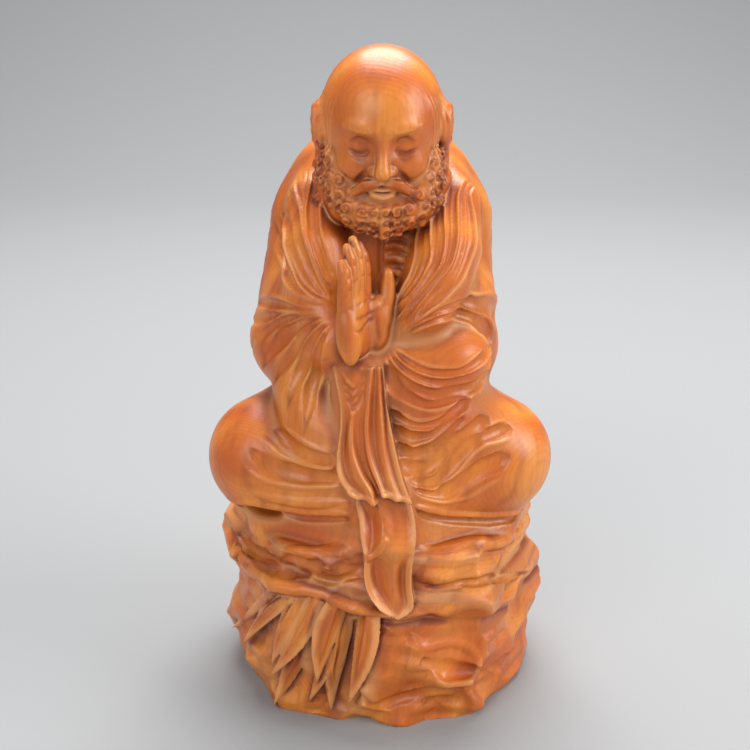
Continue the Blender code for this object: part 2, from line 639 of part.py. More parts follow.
def flat_underside(mesh):
    """Cuts the spare rock away, closes the cut and centres the statue over it."""
    form = bmesh.new()
    form.from_mesh(mesh)
    everything = form.verts[:] + form.edges[:] + form.faces[:]
    bmesh.ops.bisect_plane(form, geom=everything, dist=1e-6, plane_co=(0, 0, 0),
                           plane_no=(0, 0, 1), clear_inner=True)
    rim = [edge for edge in form.edges if edge.is_boundary]
    bmesh.ops.edgeloop_fill(form, edges=rim)
    bmesh.ops.triangulate(form, faces=[face for face in form.faces if len(face.verts) > 3])
    places = np.array([vert.co for vert in form.verts])
    middle = 0.5 * (places.min(0) + places.max(0))
    bmesh.ops.translate(form, verts=form.verts, vec=(-middle[0], -middle[1], 0.0))
    form.to_mesh(mesh)
    form.free()


def finish(block):
    mesh = fewer_triangles(full_mesh(block), TRIANGLES)
    flat_underside(mesh)
    mesh.materials.append(wood())
    mesh.shade_smooth()
    mesh.set_sharp_from_angle(angle=radians(35))
    statue = bpy.data.objects.new("carved_statue", mesh)
    bpy.context.scene.collection.objects.link(statue)


remove_everything()
block = carve()
finish(block)
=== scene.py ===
"""The carved statue of a seated bearded monk on a rock, dressed for a render.

One piece, the whole carving, stands for the CAD node carved_statue. It is carved
again as the CAD model is, on a finer grid: the same masses, then finer folds,
hair, curls, fingers, leaves and rock. Lengths are in millimetres until the mesh.
"""

import json
from math import cos, pi, radians, sin

import bmesh
import bpy
import mathutils
import numpy as np
import openvdb
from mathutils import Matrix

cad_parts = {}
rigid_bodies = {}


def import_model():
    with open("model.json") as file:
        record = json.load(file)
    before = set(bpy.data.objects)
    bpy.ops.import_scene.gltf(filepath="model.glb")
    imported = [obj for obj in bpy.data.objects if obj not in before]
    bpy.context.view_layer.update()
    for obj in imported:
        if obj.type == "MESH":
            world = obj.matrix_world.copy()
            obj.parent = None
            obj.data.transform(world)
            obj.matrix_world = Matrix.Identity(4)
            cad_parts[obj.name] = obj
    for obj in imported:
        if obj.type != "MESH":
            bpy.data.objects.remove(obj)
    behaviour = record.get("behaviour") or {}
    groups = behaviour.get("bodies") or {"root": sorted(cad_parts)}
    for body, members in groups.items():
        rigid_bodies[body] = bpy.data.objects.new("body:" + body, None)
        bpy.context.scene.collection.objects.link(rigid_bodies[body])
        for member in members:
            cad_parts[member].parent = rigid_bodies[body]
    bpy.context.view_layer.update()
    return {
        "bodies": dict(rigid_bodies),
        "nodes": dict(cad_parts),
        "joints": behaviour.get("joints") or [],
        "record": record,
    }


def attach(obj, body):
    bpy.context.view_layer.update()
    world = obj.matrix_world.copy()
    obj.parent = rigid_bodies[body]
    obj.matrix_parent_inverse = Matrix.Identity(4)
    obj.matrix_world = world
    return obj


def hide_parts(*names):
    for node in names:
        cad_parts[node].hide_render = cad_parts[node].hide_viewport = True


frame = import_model()

# The carving. The real piece is one block of orange-brown cypress root, carved with
# gouges, sanded, oiled and rubbed to a satin gloss. The figure's points are in units
# of which it is 140 high from seat to crown, and z is from the seat up.

MM = 0.001

# The rock: its width and depth before the ledge spreads, and its height up to the seat
ROCK_WIDTH = 104.0
ROCK_DEPTH = 86.0
ROCK_HEIGHT = 60.0
# The leaning ledge between the lower block and the seat slab: its thickness, its
# middle as a share of the rock's height, its spread and how it leans across
LEDGE_SLAB = 8.5
LEDGE_LEVEL = 0.70
LEDGE_SPREAD = 1.06
LEDGE_LEAN = (-0.10, 0.0)
# The seat slab's top under the seat, its spread and how it leans
SEAT_DROP = 2.0
SEAT_SPREAD = 0.98
SEAT_LEAN = (0.02, 0.03)
# Rounding of the slabs' edges, and the size of the zigzags round their sides, each
# with its share, its turns round the rock and how it winds with the height
ROCK_EDGE = 3.5
ROCK_WAVE = 1.6
ROCK_ZIGZAGS = ((0.6, 5, 0.21), (0.42, 11, -0.34), (0.2, 3, 1.1))
# The gouge's scoops, and the marks of its strata, each a golden turn after the last
SCOOP_RADIUS = 17.0
SCOOPS_ROUND = 9
SCOOP_ROWS = (0.16, 0.46)
STRATA = 90
GOLDEN_TURN = 137.508

# The figure, from the seat to the crown
FIGURE_HEIGHT = 140.0
FIGURE_UNITS = 140.0

# Steps of the carving grid: from each place to the next, the step between them
COARSE = 1.0
GRID_X = [(-64, 0.7), (-44, 0.42), (-24, 0.33), (36, 0.42), (46, 0.7), (64, None)]
GRID_Y = [(-60, 0.45), (-50, 0.33), (-12, 0.6), (60, None)]
GRID_Z = [(-9, 0.55), (30, 0.42), (58, 0.36), (141, 0.31), (172, 0.36), (190, 0.42), (206, None)]
TRIANGLES = 196000

# Depth kept outside the block, and how far beyond a shape its depth is worked out
FAR = 10.0
NEAR = 3.5
# How far off the surface its creases and ridges are felt, and its wider hollows
CREASE_REACH = 1.4
HOLLOW_REACH = 4.5
# Two points of the mesh closer than this are one, in metres
SLIVER = 2e-6

# Rock left under the base, which the flat underside then cuts away
SPARE = 7.0


class Frame:
    """A place, a turn and a scale. A local point is scaled, turned, then moved.

    The rows of axes are the directions of the local x, y and z.
    """

    def __init__(self, origin=(0.0, 0.0, 0.0), axes=None, scale=1.0):
        self.origin = np.asarray(origin, float)
        self.turned = axes is not None
        self.axes = np.asarray(axes, float) if self.turned else np.eye(3)
        self.scale = scale

    def place(self, points):
        return self.origin + self.scale * np.asarray(points, float) @ self.axes

    def local(self, x, y, z):
        parts = [(p - o) / self.scale for p, o in zip((x, y, z), self.origin)]
        if not self.turned:
            return parts
        return [sum(p * a for p, a in zip(parts, axis)) for axis in self.axes]

    def child(self, origin, axes=None):
        return Frame(self.place(origin), axes, self.scale)


class Ball:
    """An ellipsoid of three radii."""

    def __init__(self, centre, radii):
        self.centre = np.asarray(centre, float)
        self.radii = np.broadcast_to(np.asarray(radii, float), (3,))
        self.low = self.centre - self.radii
        self.high = self.centre + self.radii

    def depth(self, x, y, z):
        q = [p - c for p, c in zip((x, y, z), self.centre)]
        near = np.sqrt(sum((p / r) ** 2 for p, r in zip(q, self.radii)))
        slope = np.sqrt(sum((p / r ** 2) ** 2 for p, r in zip(q, self.radii)))
        return near * (near - 1.0) / np.maximum(slope, 1e-6)


class Limb:
    """A run of rounded cones through points, each with its own radius."""

    def __init__(self, points, radii, squeeze=(1.0, 1.0, 1.0)):
        self.squeeze = np.asarray(squeeze, float)
        self.points = np.asarray(points, float)
        self.radii = np.broadcast_to(np.asarray(radii, float), (len(self.points),))
        reach = self.radii[:, None] * self.squeeze
        self.low = (self.points - reach).min(0)
        self.high = (self.points + reach).max(0)

    def depth(self, x, y, z):
        q = [p / s for p, s in zip((x, y, z), self.squeeze)]
        points = self.points / self.squeeze
        best = None
        for a, b, ra, rb in zip(points, points[1:], self.radii, self.radii[1:]):
            run = b - a
            rel = [p - o for p, o in zip(q, a)]
            t = sum(r * d for r, d in zip(rel, run)) / (run @ run)
            t = np.clip(t, 0.0, 1.0)
            gap = sum((r - t * d) ** 2 for r, d in zip(rel, run))
            found = np.sqrt(gap) - (ra + (rb - ra) * t)
            best = found if best is None else np.minimum(best, found)
        return best * self.squeeze.min()


class Blade:
    """A pointed leaf along z, bowed in x: a flat diamond across, with a ridge along it.

    Its half width is wide * sin(pi * (0.14 + 0.86 * t) ** 0.72) ** 0.85 at a share t
    of the way along it, and is greatest about a quarter of the way.
    """

    def __init__(self, long, wide, thick, bow):
        self.size = (long, wide, thick, bow)
        self.low = np.array([-wide - abs(bow), -thick, 0.0])
        self.high = np.array([wide + abs(bow), thick, long])

    def depth(self, x, y, z):
        long, wide, thick, bow = self.size
        t = np.clip(z / long, 0.0, 1.0)
        taper = np.maximum(np.sin(pi * (0.14 + 0.86 * t) ** 0.72), 0.0) ** 0.85
        half, deep = np.maximum(wide * taper, 0.1), np.maximum(thick * (0.3 + 0.7 * taper), 0.1)
        inside = np.abs(x - bow * np.sin(pi * t)) / half + np.abs(y) / deep - 1.0
        return np.maximum(inside * half * deep / np.hypot(half, deep), np.maximum(z - long, -z))


class Fall:
    """A hanging cloth whose front runs in waves from one fold line to the next.

    Each fold line goes down the cloth. Between two of them, at a share s of the way
    across, the front is front_a + (front_b - front_a) * s * s * (3 - 2 * s). The
    outer lines are the cloth's edges, and hem, in rows of (x, z), ends it below. The
    share 0.8 in its depths allows for the slopes of its front and its hem.
    """

    def __init__(self, lines, top, thick, hem):
        self.lines = [curve(even(line), 1.0)[::-1] for line in lines]
        self.top, self.thick, self.hem = top, thick, np.array(hem, float)
        ends = np.concatenate(self.lines)
        self.low = np.append(ends[:, :2].min(0), self.hem[:, 1].min())
        self.high = np.append(ends[:, :2].max(0) + (0, thick), top)

    def depth(self, x, y, z):
        across = [np.interp(z, line[:, 2], line[:, 0]) for line in self.lines]
        fronts = [np.interp(z, line[:, 2], line[:, 1]) for line in self.lines]
        front = fronts[0]
        for a, b, fa, fb in zip(across, across[1:], fronts, fronts[1:]):
            s = np.clip((x - a) / np.maximum(b - a, 0.2), 0.0, 1.0)
            front = np.where(x > a, fa + (fb - fa) * s * s * (3.0 - 2.0 * s), front)
        sides = np.maximum(across[0] - x, x - across[-1])
        ends = np.maximum(z - self.top, 0.8 * (np.interp(x, self.hem[:, 0], self.hem[:, 1]) - z))
        return np.maximum(np.maximum(0.8 * (front - y), y - front - self.thick), np.maximum(sides, ends))


class Block:
    """The block that is carved: depths on a grid whose axes are x, y and z."""

    def __init__(self, *steps):
        self.axes = [np.concatenate([np.linspace(a, b, int((b - a) / (step * COARSE)), endpoint=False)
                                     for (a, step), (b, _) in zip(runs, runs[1:])]) for runs in steps]
        self.depths = np.full([len(a) for a in self.axes], FAR, np.float32)

    def copy(self):
        twin = Block.__new__(Block)
        twin.axes = self.axes
        twin.depths = self.depths.copy()
        return twin

    def region(self, low, high):
        """Slices of the grid around a box, and the open coordinates there."""
        first = [np.searchsorted(a, v) for a, v in zip(self.axes, low)]
        last = [np.searchsorted(a, v) for a, v in zip(self.axes, high)]
        cut = tuple(slice(max(f, 0), max(e, f + 1)) for f, e in zip(first, last))
        x, y, z = [a[s].astype(np.float32) for a, s in zip(self.axes, cut)]
        return cut, (x[:, None, None], y[None, :, None], z[None, None, :])

    def around(self, shape, frame, fillet):
        """The grid's region near a shape, and the shape's depth there."""
        ends = np.array([shape.low, shape.high])
        corners = [(ends[i, 0], ends[j, 1], ends[k, 2])
                   for i in (0, 1) for j in (0, 1) for k in (0, 1)]
        corners = frame.place(corners)
        reach = 1.5 * fillet * frame.scale + NEAR
        cut, open_axes = self.region(corners.min(0) - reach, corners.max(0) + reach)
        return cut, shape.depth(*frame.local(*open_axes)) * frame.scale

    def add(self, shape, frame, fillet):
        """Joins a shape to the block with a fillet about that wide."""
        cut, depth = self.around(shape, frame, fillet)
        self.depths[cut] = blend(self.depths[cut], depth, fillet * frame.scale)

    def cut(self, shape, frame, fillet):
        """Takes a shape out of the block, with its edge rounded."""
        cut, depth = self.around(shape, frame, fillet)
        self.depths[cut] = -blend(-self.depths[cut], depth, fillet * frame.scale)

    def sample(self, points):
        """The depth at points, between the grid's own by straight lines."""
        place = [np.interp(points[:, i], a, np.arange(len(a))) for i, a in enumerate(self.axes)]
        place = [np.clip(p, 0, len(a) - 1.001) for p, a in zip(place, self.axes)]
        base = [p.astype(int) for p in place]
        part = [p - b for p, b in zip(place, base)]
        total = 0.0
        for i in (0, 1):
            for j in (0, 1):
                for k in (0, 1):
                    weight = 1.0
                    for p, side in zip(part, (i, j, k)):
                        weight = weight * (p if side else 1.0 - p)
                    total = total + weight * self.depths[base[0] + i, base[1] + j, base[2] + k]
        return total

    def normal(self, points, reach=0.8):
        """The outward direction at points: the slope of the depths, of length 1."""
        slope = np.stack([self.sample(points + e) - self.sample(points - e)
                          for e in np.eye(3) * reach], 1)
        return slope / np.maximum(np.linalg.norm(slope, axis=1, keepdims=True), 1e-6)

    def settle(self, points):
        """Moves points straight to the surface, down the slope of the depths."""
        points = np.array(points, float)
        for _ in range(6):
            points -= self.normal(points) * self.sample(points)[:, None] * 0.8
        return points

    def lay(self, frame, lines):
        """Lines of a frame as smooth curves that lie on the surface."""
        return [self.settle(curve(frame.place(line))) for line in lines]

    def strokes(self, paths, width, height, sharp=2.0, taper=0.25, sizes=None):
        """Draws ridges (or grooves, for a negative height) along paths.

        Across a stroke the height is (1 - (distance / width) ** 2) ** sharp. Width and
        height shrink together over the taper share of each end. Where strokes of one
        call meet, the higher wins, so a sharp valley stays between two ridges.
        """
        shares = [np.broadcast_to(s, (len(p),)) for p, s in zip(paths, sizes or [1.0] * len(paths))]
        most = width * max(share.max() for share in shares)
        ends = np.concatenate(paths)
        whole, _ = self.region(ends.min(0) - most, ends.max(0) + most)
        relief = np.zeros(self.depths[whole].shape, np.float32)
        for path, share in zip(paths, shares):
            along = np.linspace(0.0, 1.0, len(path))
            ease = share * np.minimum(1.0, np.minimum(along, 1.0 - along) / taper + 0.02) ** 0.6
            ease = np.maximum(ease, 0.02)
            for a, b, ea, eb in zip(path, path[1:], ease, ease[1:]):
                reach = width * max(ea, eb)
                here, (x, y, z) = self.region(np.minimum(a, b) - reach, np.maximum(a, b) + reach)
                run = b - a
                rel = (x - a[0], y - a[1], z - a[2])
                t = sum(r * d for r, d in zip(rel, run)) / max(run @ run, 1e-9)
                t = np.clip(t, 0.0, 1.0)
                size = ea + (eb - ea) * t
                gap = sum((r - t * d) ** 2 for r, d in zip(rel, run)) / (width * size) ** 2
                rise = np.maximum(1.0 - gap, 0.0) ** sharp * size
                spot = tuple(slice(h.start - w.start, h.stop - w.start) for h, w in zip(here, whole))
                relief[spot] = np.maximum(relief[spot], rise)
        self.depths[whole] -= relief * height

    def skin(self, rounds=3):
        """The zero surface as points and quads whose faces point outwards.

        Its small steps are rubbed down: each point goes half way to the mean of its
        neighbours and then a little further back, so that no form shrinks.
        """
        grid = openvdb.FloatGrid(FAR)
        grid.copyFromArray(self.depths)
        points, quads = grid.convertToQuads(isovalue=0.0)
        points = np.stack([np.interp(points[:, i], np.arange(len(a)), a)
                           for i, a in enumerate(self.axes)], 1)
        start, end = quads.ravel(), np.roll(quads, -1, axis=1).ravel()
        count = np.bincount(start, minlength=len(points))[:, None]
        for share in (0.5, -0.53) * rounds:
            mean = np.stack([np.bincount(start, points[end, i], len(points)) for i in range(3)], 1)
            points = points + share * (mean / count - points)
        return points, quads.astype(np.int32)


def blend(a, b, k):
    """The smaller of two depths, with a fillet about k wide where they meet."""
    near = np.maximum(k - np.abs(a - b), 0.0) / k
    return np.minimum(a, b) - near * near * k * 0.25


def curve(points, spacing=1.6):
    """A smooth curve through points (Catmull-Rom), sampled about every spacing."""
    p = np.asarray(points, float)
    p = np.concatenate([[2 * p[0] - p[1]], p, [2 * p[-1] - p[-2]]])
    runs = []
    for a, b, c, d in zip(p, p[1:], p[2:], p[3:]):
        count = max(2, int(np.linalg.norm(c - b) / spacing))
        t = np.linspace(0.0, 1.0, count, endpoint=False)[:, None]
        runs.append(0.5 * (2 * b + (c - a) * t + (2 * a - 5 * b + 4 * c - d) * t ** 2
                           + (3 * b - a - 3 * c + d) * t ** 3))
    runs.append(p[-2:-1])
    return np.concatenate(runs)


def family(first, last, count):
    """Folds that pass step by step from the first one to the last one."""
    first, last = np.asarray(first, float), np.asarray(last, float)
    return [first + (last - first) * t for t in np.linspace(0.0, 1.0, count)]


def on_side(side, points):
    """Points that are given for the figure's left, on the left (1) or right (-1)."""
    return [(side * x, y, z) for x, y, z in points]


def even(points, count=9):
    """The same line with count points, evenly spaced along it."""
    p = np.asarray(points, float)
    along = np.concatenate([[0.0], np.cumsum(np.linalg.norm(np.diff(p, axis=0), axis=1))])
    stops = np.linspace(0.0, along[-1], count)
    return np.stack([np.interp(stops, along, p[:, i]) for i in range(3)], 1)


def flutes(block, plain, frame, keys, deep=0.62, rim=0.35, fade=0.02, most=3.4):
    """Gouges a rounded valley between each two fold lines, which stay as ridges.

    The lines are laid on plain, the block before its folds. A valley is as wide as its two lines are
    apart, and deep times half that width; it runs out where they come within a
    millimetre. Over the share fade of the first end it sinks in slowly. rim is how
    far the ridges are built up.
    """
    count = 32
    lines = [plain.settle(even(curve(frame.place(even(key))), count)) for key in keys]
    ease = np.clip(np.linspace(0.0, 1.0, count) / fade, 0.05, 1.0)
    valleys, sizes = [], []
    for a, b in zip(lines, lines[1:]):
        valleys.append(plain.settle(0.5 * (a + b)))
        half = 0.5 * np.linalg.norm(a - b, axis=1)
        sizes.append(np.minimum(half, most) * np.clip((half - 0.4) / 0.5, 0.0, 1.0) * ease)
    block.strokes(valleys, 1.0, -deep, 1.25, 0.1, sizes)
    block.strokes(lines, 1.15, rim, 1.6, 0.12, [ease] * len(lines))


def doubled(keys):
    """The same fold lines with one more midway between each two."""
    keys = [even(key) for key in keys]
    pairs = [line for a, b in zip(keys, keys[1:]) for line in (a, 0.5 * (a + b))]
    return pairs + keys[-1:]


def drape(block, frame, folds, width, height, sharp=2.0, taper=0.25, sizes=None):
    """Lays fold lines on the surface as it is and raises or sinks them there."""
    block.strokes(block.lay(frame, folds), width * frame.scale, height * frame.scale, sharp, taper, sizes)


WORLD = Frame()
FIGURE = Frame((0.0, 0.0, ROCK_HEIGHT), scale=FIGURE_HEIGHT / FIGURE_UNITS)
SIDES = (-1, 1)
RIGHT_SIDE, LEFT_SIDE = SIDES

# Corners of the rock's outline: compass angle from the front towards +x, and
# distance from the middle as a share of half the rock's width
ROCK_CORNERS = [(0, 0.81), (12, 0.82), (38, 0.93), (62, 0.87), (90, 0.95), (120, 0.94),
                (150, 0.82), (180, 0.73), (207, 0.79), (240, 0.94), (268, 0.93),
                (290, 0.88), (316, 0.88), (340, 0.81)]
# Swell of the rock's side from its foot up: share of its height, share of its outline
ROCK_SWELL = [(0.0, 0.97), (0.1, 1.0), (0.3, 1.06), (0.5, 1.02), (0.65, 0.985), (1.0, 0.96)]
# Depth over width of the outline, for which the corners are given as if it were round
ROCK_SQUASH = ROCK_DEPTH / (ROCK_WIDTH * ROCK_CORNERS[0][1])


class Rock:
    """A cornered outline carried upwards, with a swelling side and two level ends.

    At a compass angle turn and a height z the side stands out by ROCK_WAVE times the
    sum of share * arcsin(sin(around * turn + up * z + 2 * sin(2 * turn))), a zigzag for
    each row of ROCK_ZIGZAGS. Its depth is 0.85 of the gap, as the side is steep.
    """

    def __init__(self, foot, top, lean=(0.0, 0.0), spread=1.0, swelling=False):
        self.foot = foot
        self.top = top
        self.lean = lean
        self.spread = spread
        self.swelling = swelling
        reach = ROCK_WIDTH * 0.56 * max(spread, 1.0)
        rise = reach * max(abs(lean[0]), abs(lean[1]))
        self.low = np.array([-reach, -reach, foot - rise])
        self.high = np.array([reach, reach, top + rise])

    def outline(self, angle):
        """Distance from the middle to the straight sides between the corners."""
        corners = ROCK_CORNERS + [(360, ROCK_CORNERS[0][1])]
        turn = np.radians([c[0] for c in corners])
        far = np.array([c[1] for c in corners]) * ROCK_WIDTH * 0.5 * self.spread
        cx, cy = far * np.sin(turn), far * np.cos(turn)
        edge = np.full(angle.shape, ROCK_WIDTH, np.float32)
        for i in range(len(corners) - 1):
            nx, ny = cy[i] - cy[i + 1], cx[i + 1] - cx[i]
            size = np.hypot(nx, ny)
            facing = (nx * np.sin(angle) + ny * np.cos(angle)) / size
            here = (angle >= turn[i]) & (angle <= turn[i + 1])
            found = (nx * cx[i] + ny * cy[i]) / size / np.maximum(facing, 0.2)
            edge = np.where(here, found, edge)
        return edge

    def depth(self, x, y, z):
        deep = y / ROCK_SQUASH
        turn = np.mod(np.arctan2(x, -deep), 2.0 * pi)
        edge = self.outline(turn)
        if self.swelling:
            share, swell = zip(*ROCK_SWELL)
            edge = edge * np.interp(z / ROCK_HEIGHT, share, swell)
        wave = sum(share * np.arcsin(np.sin(around * turn + up * z + 2 * np.sin(2 * turn)))
                   for share, around, up in ROCK_ZIGZAGS)
        side = (np.hypot(x, deep) - edge - ROCK_WAVE * wave) * 0.85
        middle = 0.5 * (self.foot + self.top) + self.lean[0] * x + self.lean[1] * y
        level = np.abs(z - middle) - 0.5 * (self.top - self.foot)
        return -blend(-side, -level, ROCK_EDGE)


def on_rock(turn, height, out=0.0):
    """The point of the rock's side at a compass angle in degrees, and a height."""
    turn = radians(turn % 360)
    far = float(Rock(0, 1).outline(np.array([turn]))[0]) + out
    return np.array([far * sin(turn), -far * cos(turn) * ROCK_SQUASH, height])


def carve_rock(block):
    """The lower block, a leaning ledge, the seat slab and scoops all round."""
    level = ROCK_HEIGHT * LEDGE_LEVEL
    half = LEDGE_SLAB / 2
    block.add(Rock(-SPARE, level, swelling=True), WORLD, 1.5)
    block.add(Rock(level - half, level + half, LEDGE_LEAN, LEDGE_SPREAD), WORLD, 1.5)
    block.add(Rock(level, ROCK_HEIGHT - SEAT_DROP, SEAT_LEAN, SEAT_SPREAD), WORLD, 1.5)
    # Scooped chisel faces in staggered rows, with ridges left between them
    for row, share in enumerate(SCOOP_ROWS):
        for i in range(SCOOPS_ROUND):
            turn = 360 * (i + 0.5 * row + 0.15) / SCOOPS_ROUND
            radius = SCOOP_RADIUS * (1.0 + 0.25 * sin(2.3 * i + row))
            spot = on_rock(turn, ROCK_HEIGHT * share, 0.93 * radius)
            block.cut(Ball(spot, radius), WORLD, 1.2)


# Deep clefts round the rock's top, in the figure's units
CLEFTS = [
    [(-46, -10, -9), (-42.1, -19.5, -10.1), (-36.8, -25.3, -10.2), (-32.2, -31.2, -9.4),
     (-29.3, -35.7, -10.7)],
    [(-24, -37, -8.6), (-19.2, -38.9, -10.8), (-13.8, -39.9, -10.6), (-5, -40.8, -9.8)],
    [(9.2, -40.9, -11.2), (15.2, -40.4, -12.6), (25.2, -39.4, -12.8), (36.1, -29.5, -16),
     (47.1, -15.1, -22.1)]]
# Shadows under the seat's edge and over the lowest chips
UNDERCUTS = [
    [(-30.9, -32.3, -21.6), (-24.7, -34.7, -22.2), (-18, -38.8, -22.5), (-9.9, -41.1, -21.8),
     (-2.6, -43.1, -22), (4, -45, -23)],
    [(-8, -44, -46), (-4.7, -44.7, -50.5), (-1.4, -43.6, -53), (7.6, -42, -50.5), (15.6, -41.9, -48.3),
     (25.2, -41.1, -48)]]
# Proud edges of the slabs
RIMS = [
    [(-30, -33.5, -5), (-24, -35.5, -4.6), (-16.6, -36, -4.4), (-8, -37, -2.6)],
    [(-46, -14, -17), (-34.9, -31.4, -15.7), (-24.5, -39.2, -15.5), (-17.8, -42.5, -16.6),
     (-9.8, -45.6, -17.1), (-2.6, -45.5, -18.6), (4, -46, -20.5)],
    [(10.6, -38.6, -1.4), (22, -34, -3), (36.2, -25, -6.6), (48, -5, -14)],
    [(25.2, -41.1, -47.5), (28.6, -37.6, -54.4), (31.6, -33.2, -60)]]


def carve_cracks(block):
    """Dark clefts, strata and broken edges in the rock, most of them at the front."""
    f = FIGURE
    # A smooth boulder between the leaves and the notch, and the notch's hollow
    block.add(Ball((0, -37.5, -37), (9.5, 7.5, 15)), f, 3)
    block.cut(Limb([(13, -45, -36.5), (21, -43.5, -40.5), (28.5, -39.5, -43)], (1.6, 4.4, 2.0)), f, 0.6)
    drape(block, f, CLEFTS, 1.7, -2.8, 0.9, 0.45)
    drape(block, f, UNDERCUTS, 2.2, -2.4, 1.0, 0.35)
    drape(block, f, RIMS, 3.0, 1.7, 2.4, 0.2)
    brink = [(8.6, -43.9, -27), (10.7, -43.4, -29), (12.7, -43.8, -32.2), (22.4, -38.6, -33.6),
             (27.9, -38.3, -36.8), (29.9, -39.4, -40.7), (29.6, -36.8, -46.4)]
    drape(block, f, [brink], 2.0, 0.9, 1.6, 0.35)
    # Strata right round except at the leaves: long shallow marks in wavering lines
    marks, sizes = [], []
    for i in range(STRATA):
        turn = GOLDEN_TURN * i
        below = 4 + 52 * ((i * 0.618) % 1.0)
        long = 12 + 16 * ((i * 0.414) % 1.0)
        if below > 17 and -56 < (turn + 180) % 360 - 180 < 18:
            continue
        marks.append([on_rock(turn + long * t, ROCK_HEIGHT - below + 2.2 * sin(3 * t + i) - 3 * t * cos(i))
                      for t in (-0.5, -0.2, 0.2, 0.5)])
        sizes.append(0.7 + 0.8 * ((i * 0.273) % 1.0))
    drape(block, WORLD, marks, 1.7, -0.75, 1.2, 0.4, sizes)


# The bamboo leaves, the lowest first: root, tip, half width, and lift off the rock
LEAVES = [
    ((-23, -36.5, -26), (-33.1, -31.1, -58.7), 3.9, 0.5),
    ((-11.3, -40.1, -24), (-15.6, -39.2, -57), 4.1, 0.6),
    ((-16, -40, -30), (-20.8, -36.8, -54), 3.4, 0.3),
    ((-28, -33.3, -20), (-41, -23.5, -42), 3.2, 0.5),
    ((-29.6, -31, -18), (-47, -8, -45), 3, 0.8),
    ((-24, -35.5, -19), (-32.1, -35.5, -44), 3.6, 1.2),
    ((-18.5, -39, -19), (-31, -34.5, -46.5), 3.8, 2),
    ((-13.5, -43, -19), (-21.5, -41.5, -46), 4.3, 2),
    ((-3.6, -43.5, -20), (-9.3, -43.6, -51), 4.3, 1.6)]


def carve_leaves(block):
    """Pointed bamboo leaves in relief under the ledge, over a sunk ground.

    A leaf lies in a frame of its own: x across it, y out of the rock, z from its
    root to its tip. The later leaves lie over the earlier ones.
    """
    f = FIGURE
    spots = []
    for root, tip, wide, lift in LEAVES:
        line = block.settle(even(f.place([root, tip]), 5))
        out = block.normal(line[2:3], 2.0)[0]
        bulge = max((line - even(line[[0, -1]], 5)) @ out)
        spots.append((line[0], line[-1], out, wide, lift + 0.7 * bulge))
    for place, wide in (((-32, -34, -36), (10, 3.2, 14)), ((-16, -41, -40), (12, 3.0, 16))):
        block.cut(Ball(block.settle(f.place([place]))[0], wide), WORLD, 3)
    for i, (root, tip, out, wide, lift) in enumerate(spots):
        root, tip = root + out * (lift - 2.4), tip + out * (lift + 0.3)
        way = (tip - root) / np.linalg.norm(tip - root)
        root = root - 2.5 * way
        out = out - way * (out @ way)
        out /= np.linalg.norm(out)
        long = np.linalg.norm(tip - root)
        bow = 1.3 * (-1) ** i
        own = Frame(root, (np.cross(out, way), out, way))
        block.add(Blade(long, wide, 2.3, bow), own, 0.3)
        veins = [own.place(curve([(side * wide * 0.2, 3, 2.0), (bow + side * wide * 0.45, 3, long * 0.42),
                                  (0.4 * bow + side * wide * 0.16, 3, long * 0.86)])) for side in SIDES]
        block.strokes([block.settle(vein) for vein in veins], 0.6, -0.25, 1.0, 0.2)


def carve_body(block):
    """The stooped trunk, the arms in their wide sleeves, and the robe's front."""
    f = FIGURE
    block.add(Ball((0, 8, 68), (29.5, 24, 48)), f, 8)
    block.add(Ball((0, 9, 92), (29.5, 20, 25)), f, 8)
    block.add(Ball((0, 3, 30), (31, 28, 26)), f, 10)
    block.add(Ball((0, 13, 12), (35, 22, 16)), f, 8)
    block.add(Limb([(0, 8, 104), (0, -8, 112)], (14, 11)), f, 6)
    for side, out in ((RIGHT_SIDE, 26.3), (LEFT_SIDE, 21.2)):
        block.add(Limb([(side * 21.5, 5, 88), (side * out, -3, 55)], (11, 12)), f, 6)
        block.add(Ball((side * (out - 0.5), -6, 51), (12.3, 14, 14)), f, 5)
    # The raised right forearm and the sleeve that hangs from it
    block.add(Limb([(-26, -6, 53), (-13, -27, 58)], (12, 9)), f, 5)
    block.add(Limb([(-21, -20, 42), (-12, -29, 26)], (11, 9)), f, 6)
    # The left forearm across the lap, its covered hand and the cloth under it
    block.add(Limb([(22, -6, 50), (7, -27, 50)], (12, 9)), f, 6)
    block.add(Ball((17, -22, 52), (15, 12, 11)), f, 6)
    block.add(Ball((13, -22, 36), (16, 14, 14)), f, 8)
    block.add(Ball((4, -21, 62), (8, 9, 8)), f, 5)
    block.add(Ball((-1, -24, 48), (11, 11, 11)), f, 4)
    block.add(Ball((23, -16, 27), (16, 16, 14)), f, 8)
    block.add(Ball((-18, -18, 30), (12, 15, 13)), f, 8)


def carve_legs(block):
    """Crossed legs under the robe: thigh, folded shin and the cloth between."""
    f = FIGURE
    for side, knee in ((RIGHT_SIDE, 35.0), (LEFT_SIDE, 34.0)):
        block.add(Limb(on_side(side, [(14, 12, 20), (knee, -12, 18)]), (19, 17.5)), f, 5)
        block.add(Limb(on_side(side, [(knee, -12, 15), (2, -28, 10)]), (15.5, 11)), f, 6)
        # The cloth under the shin, and the rock that rises to meet it
        block.add(Limb(on_side(side, [(28, -15, 5), (2, -27, 4)]), 7.5), f, 3)
        block.add(Limb(on_side(side, [(32, -15, -4), (4, -30.5, -4)]), 9.5), f, 5)
    block.add(Ball((6, -14, 20), (28, 21, 17)), f, 6)


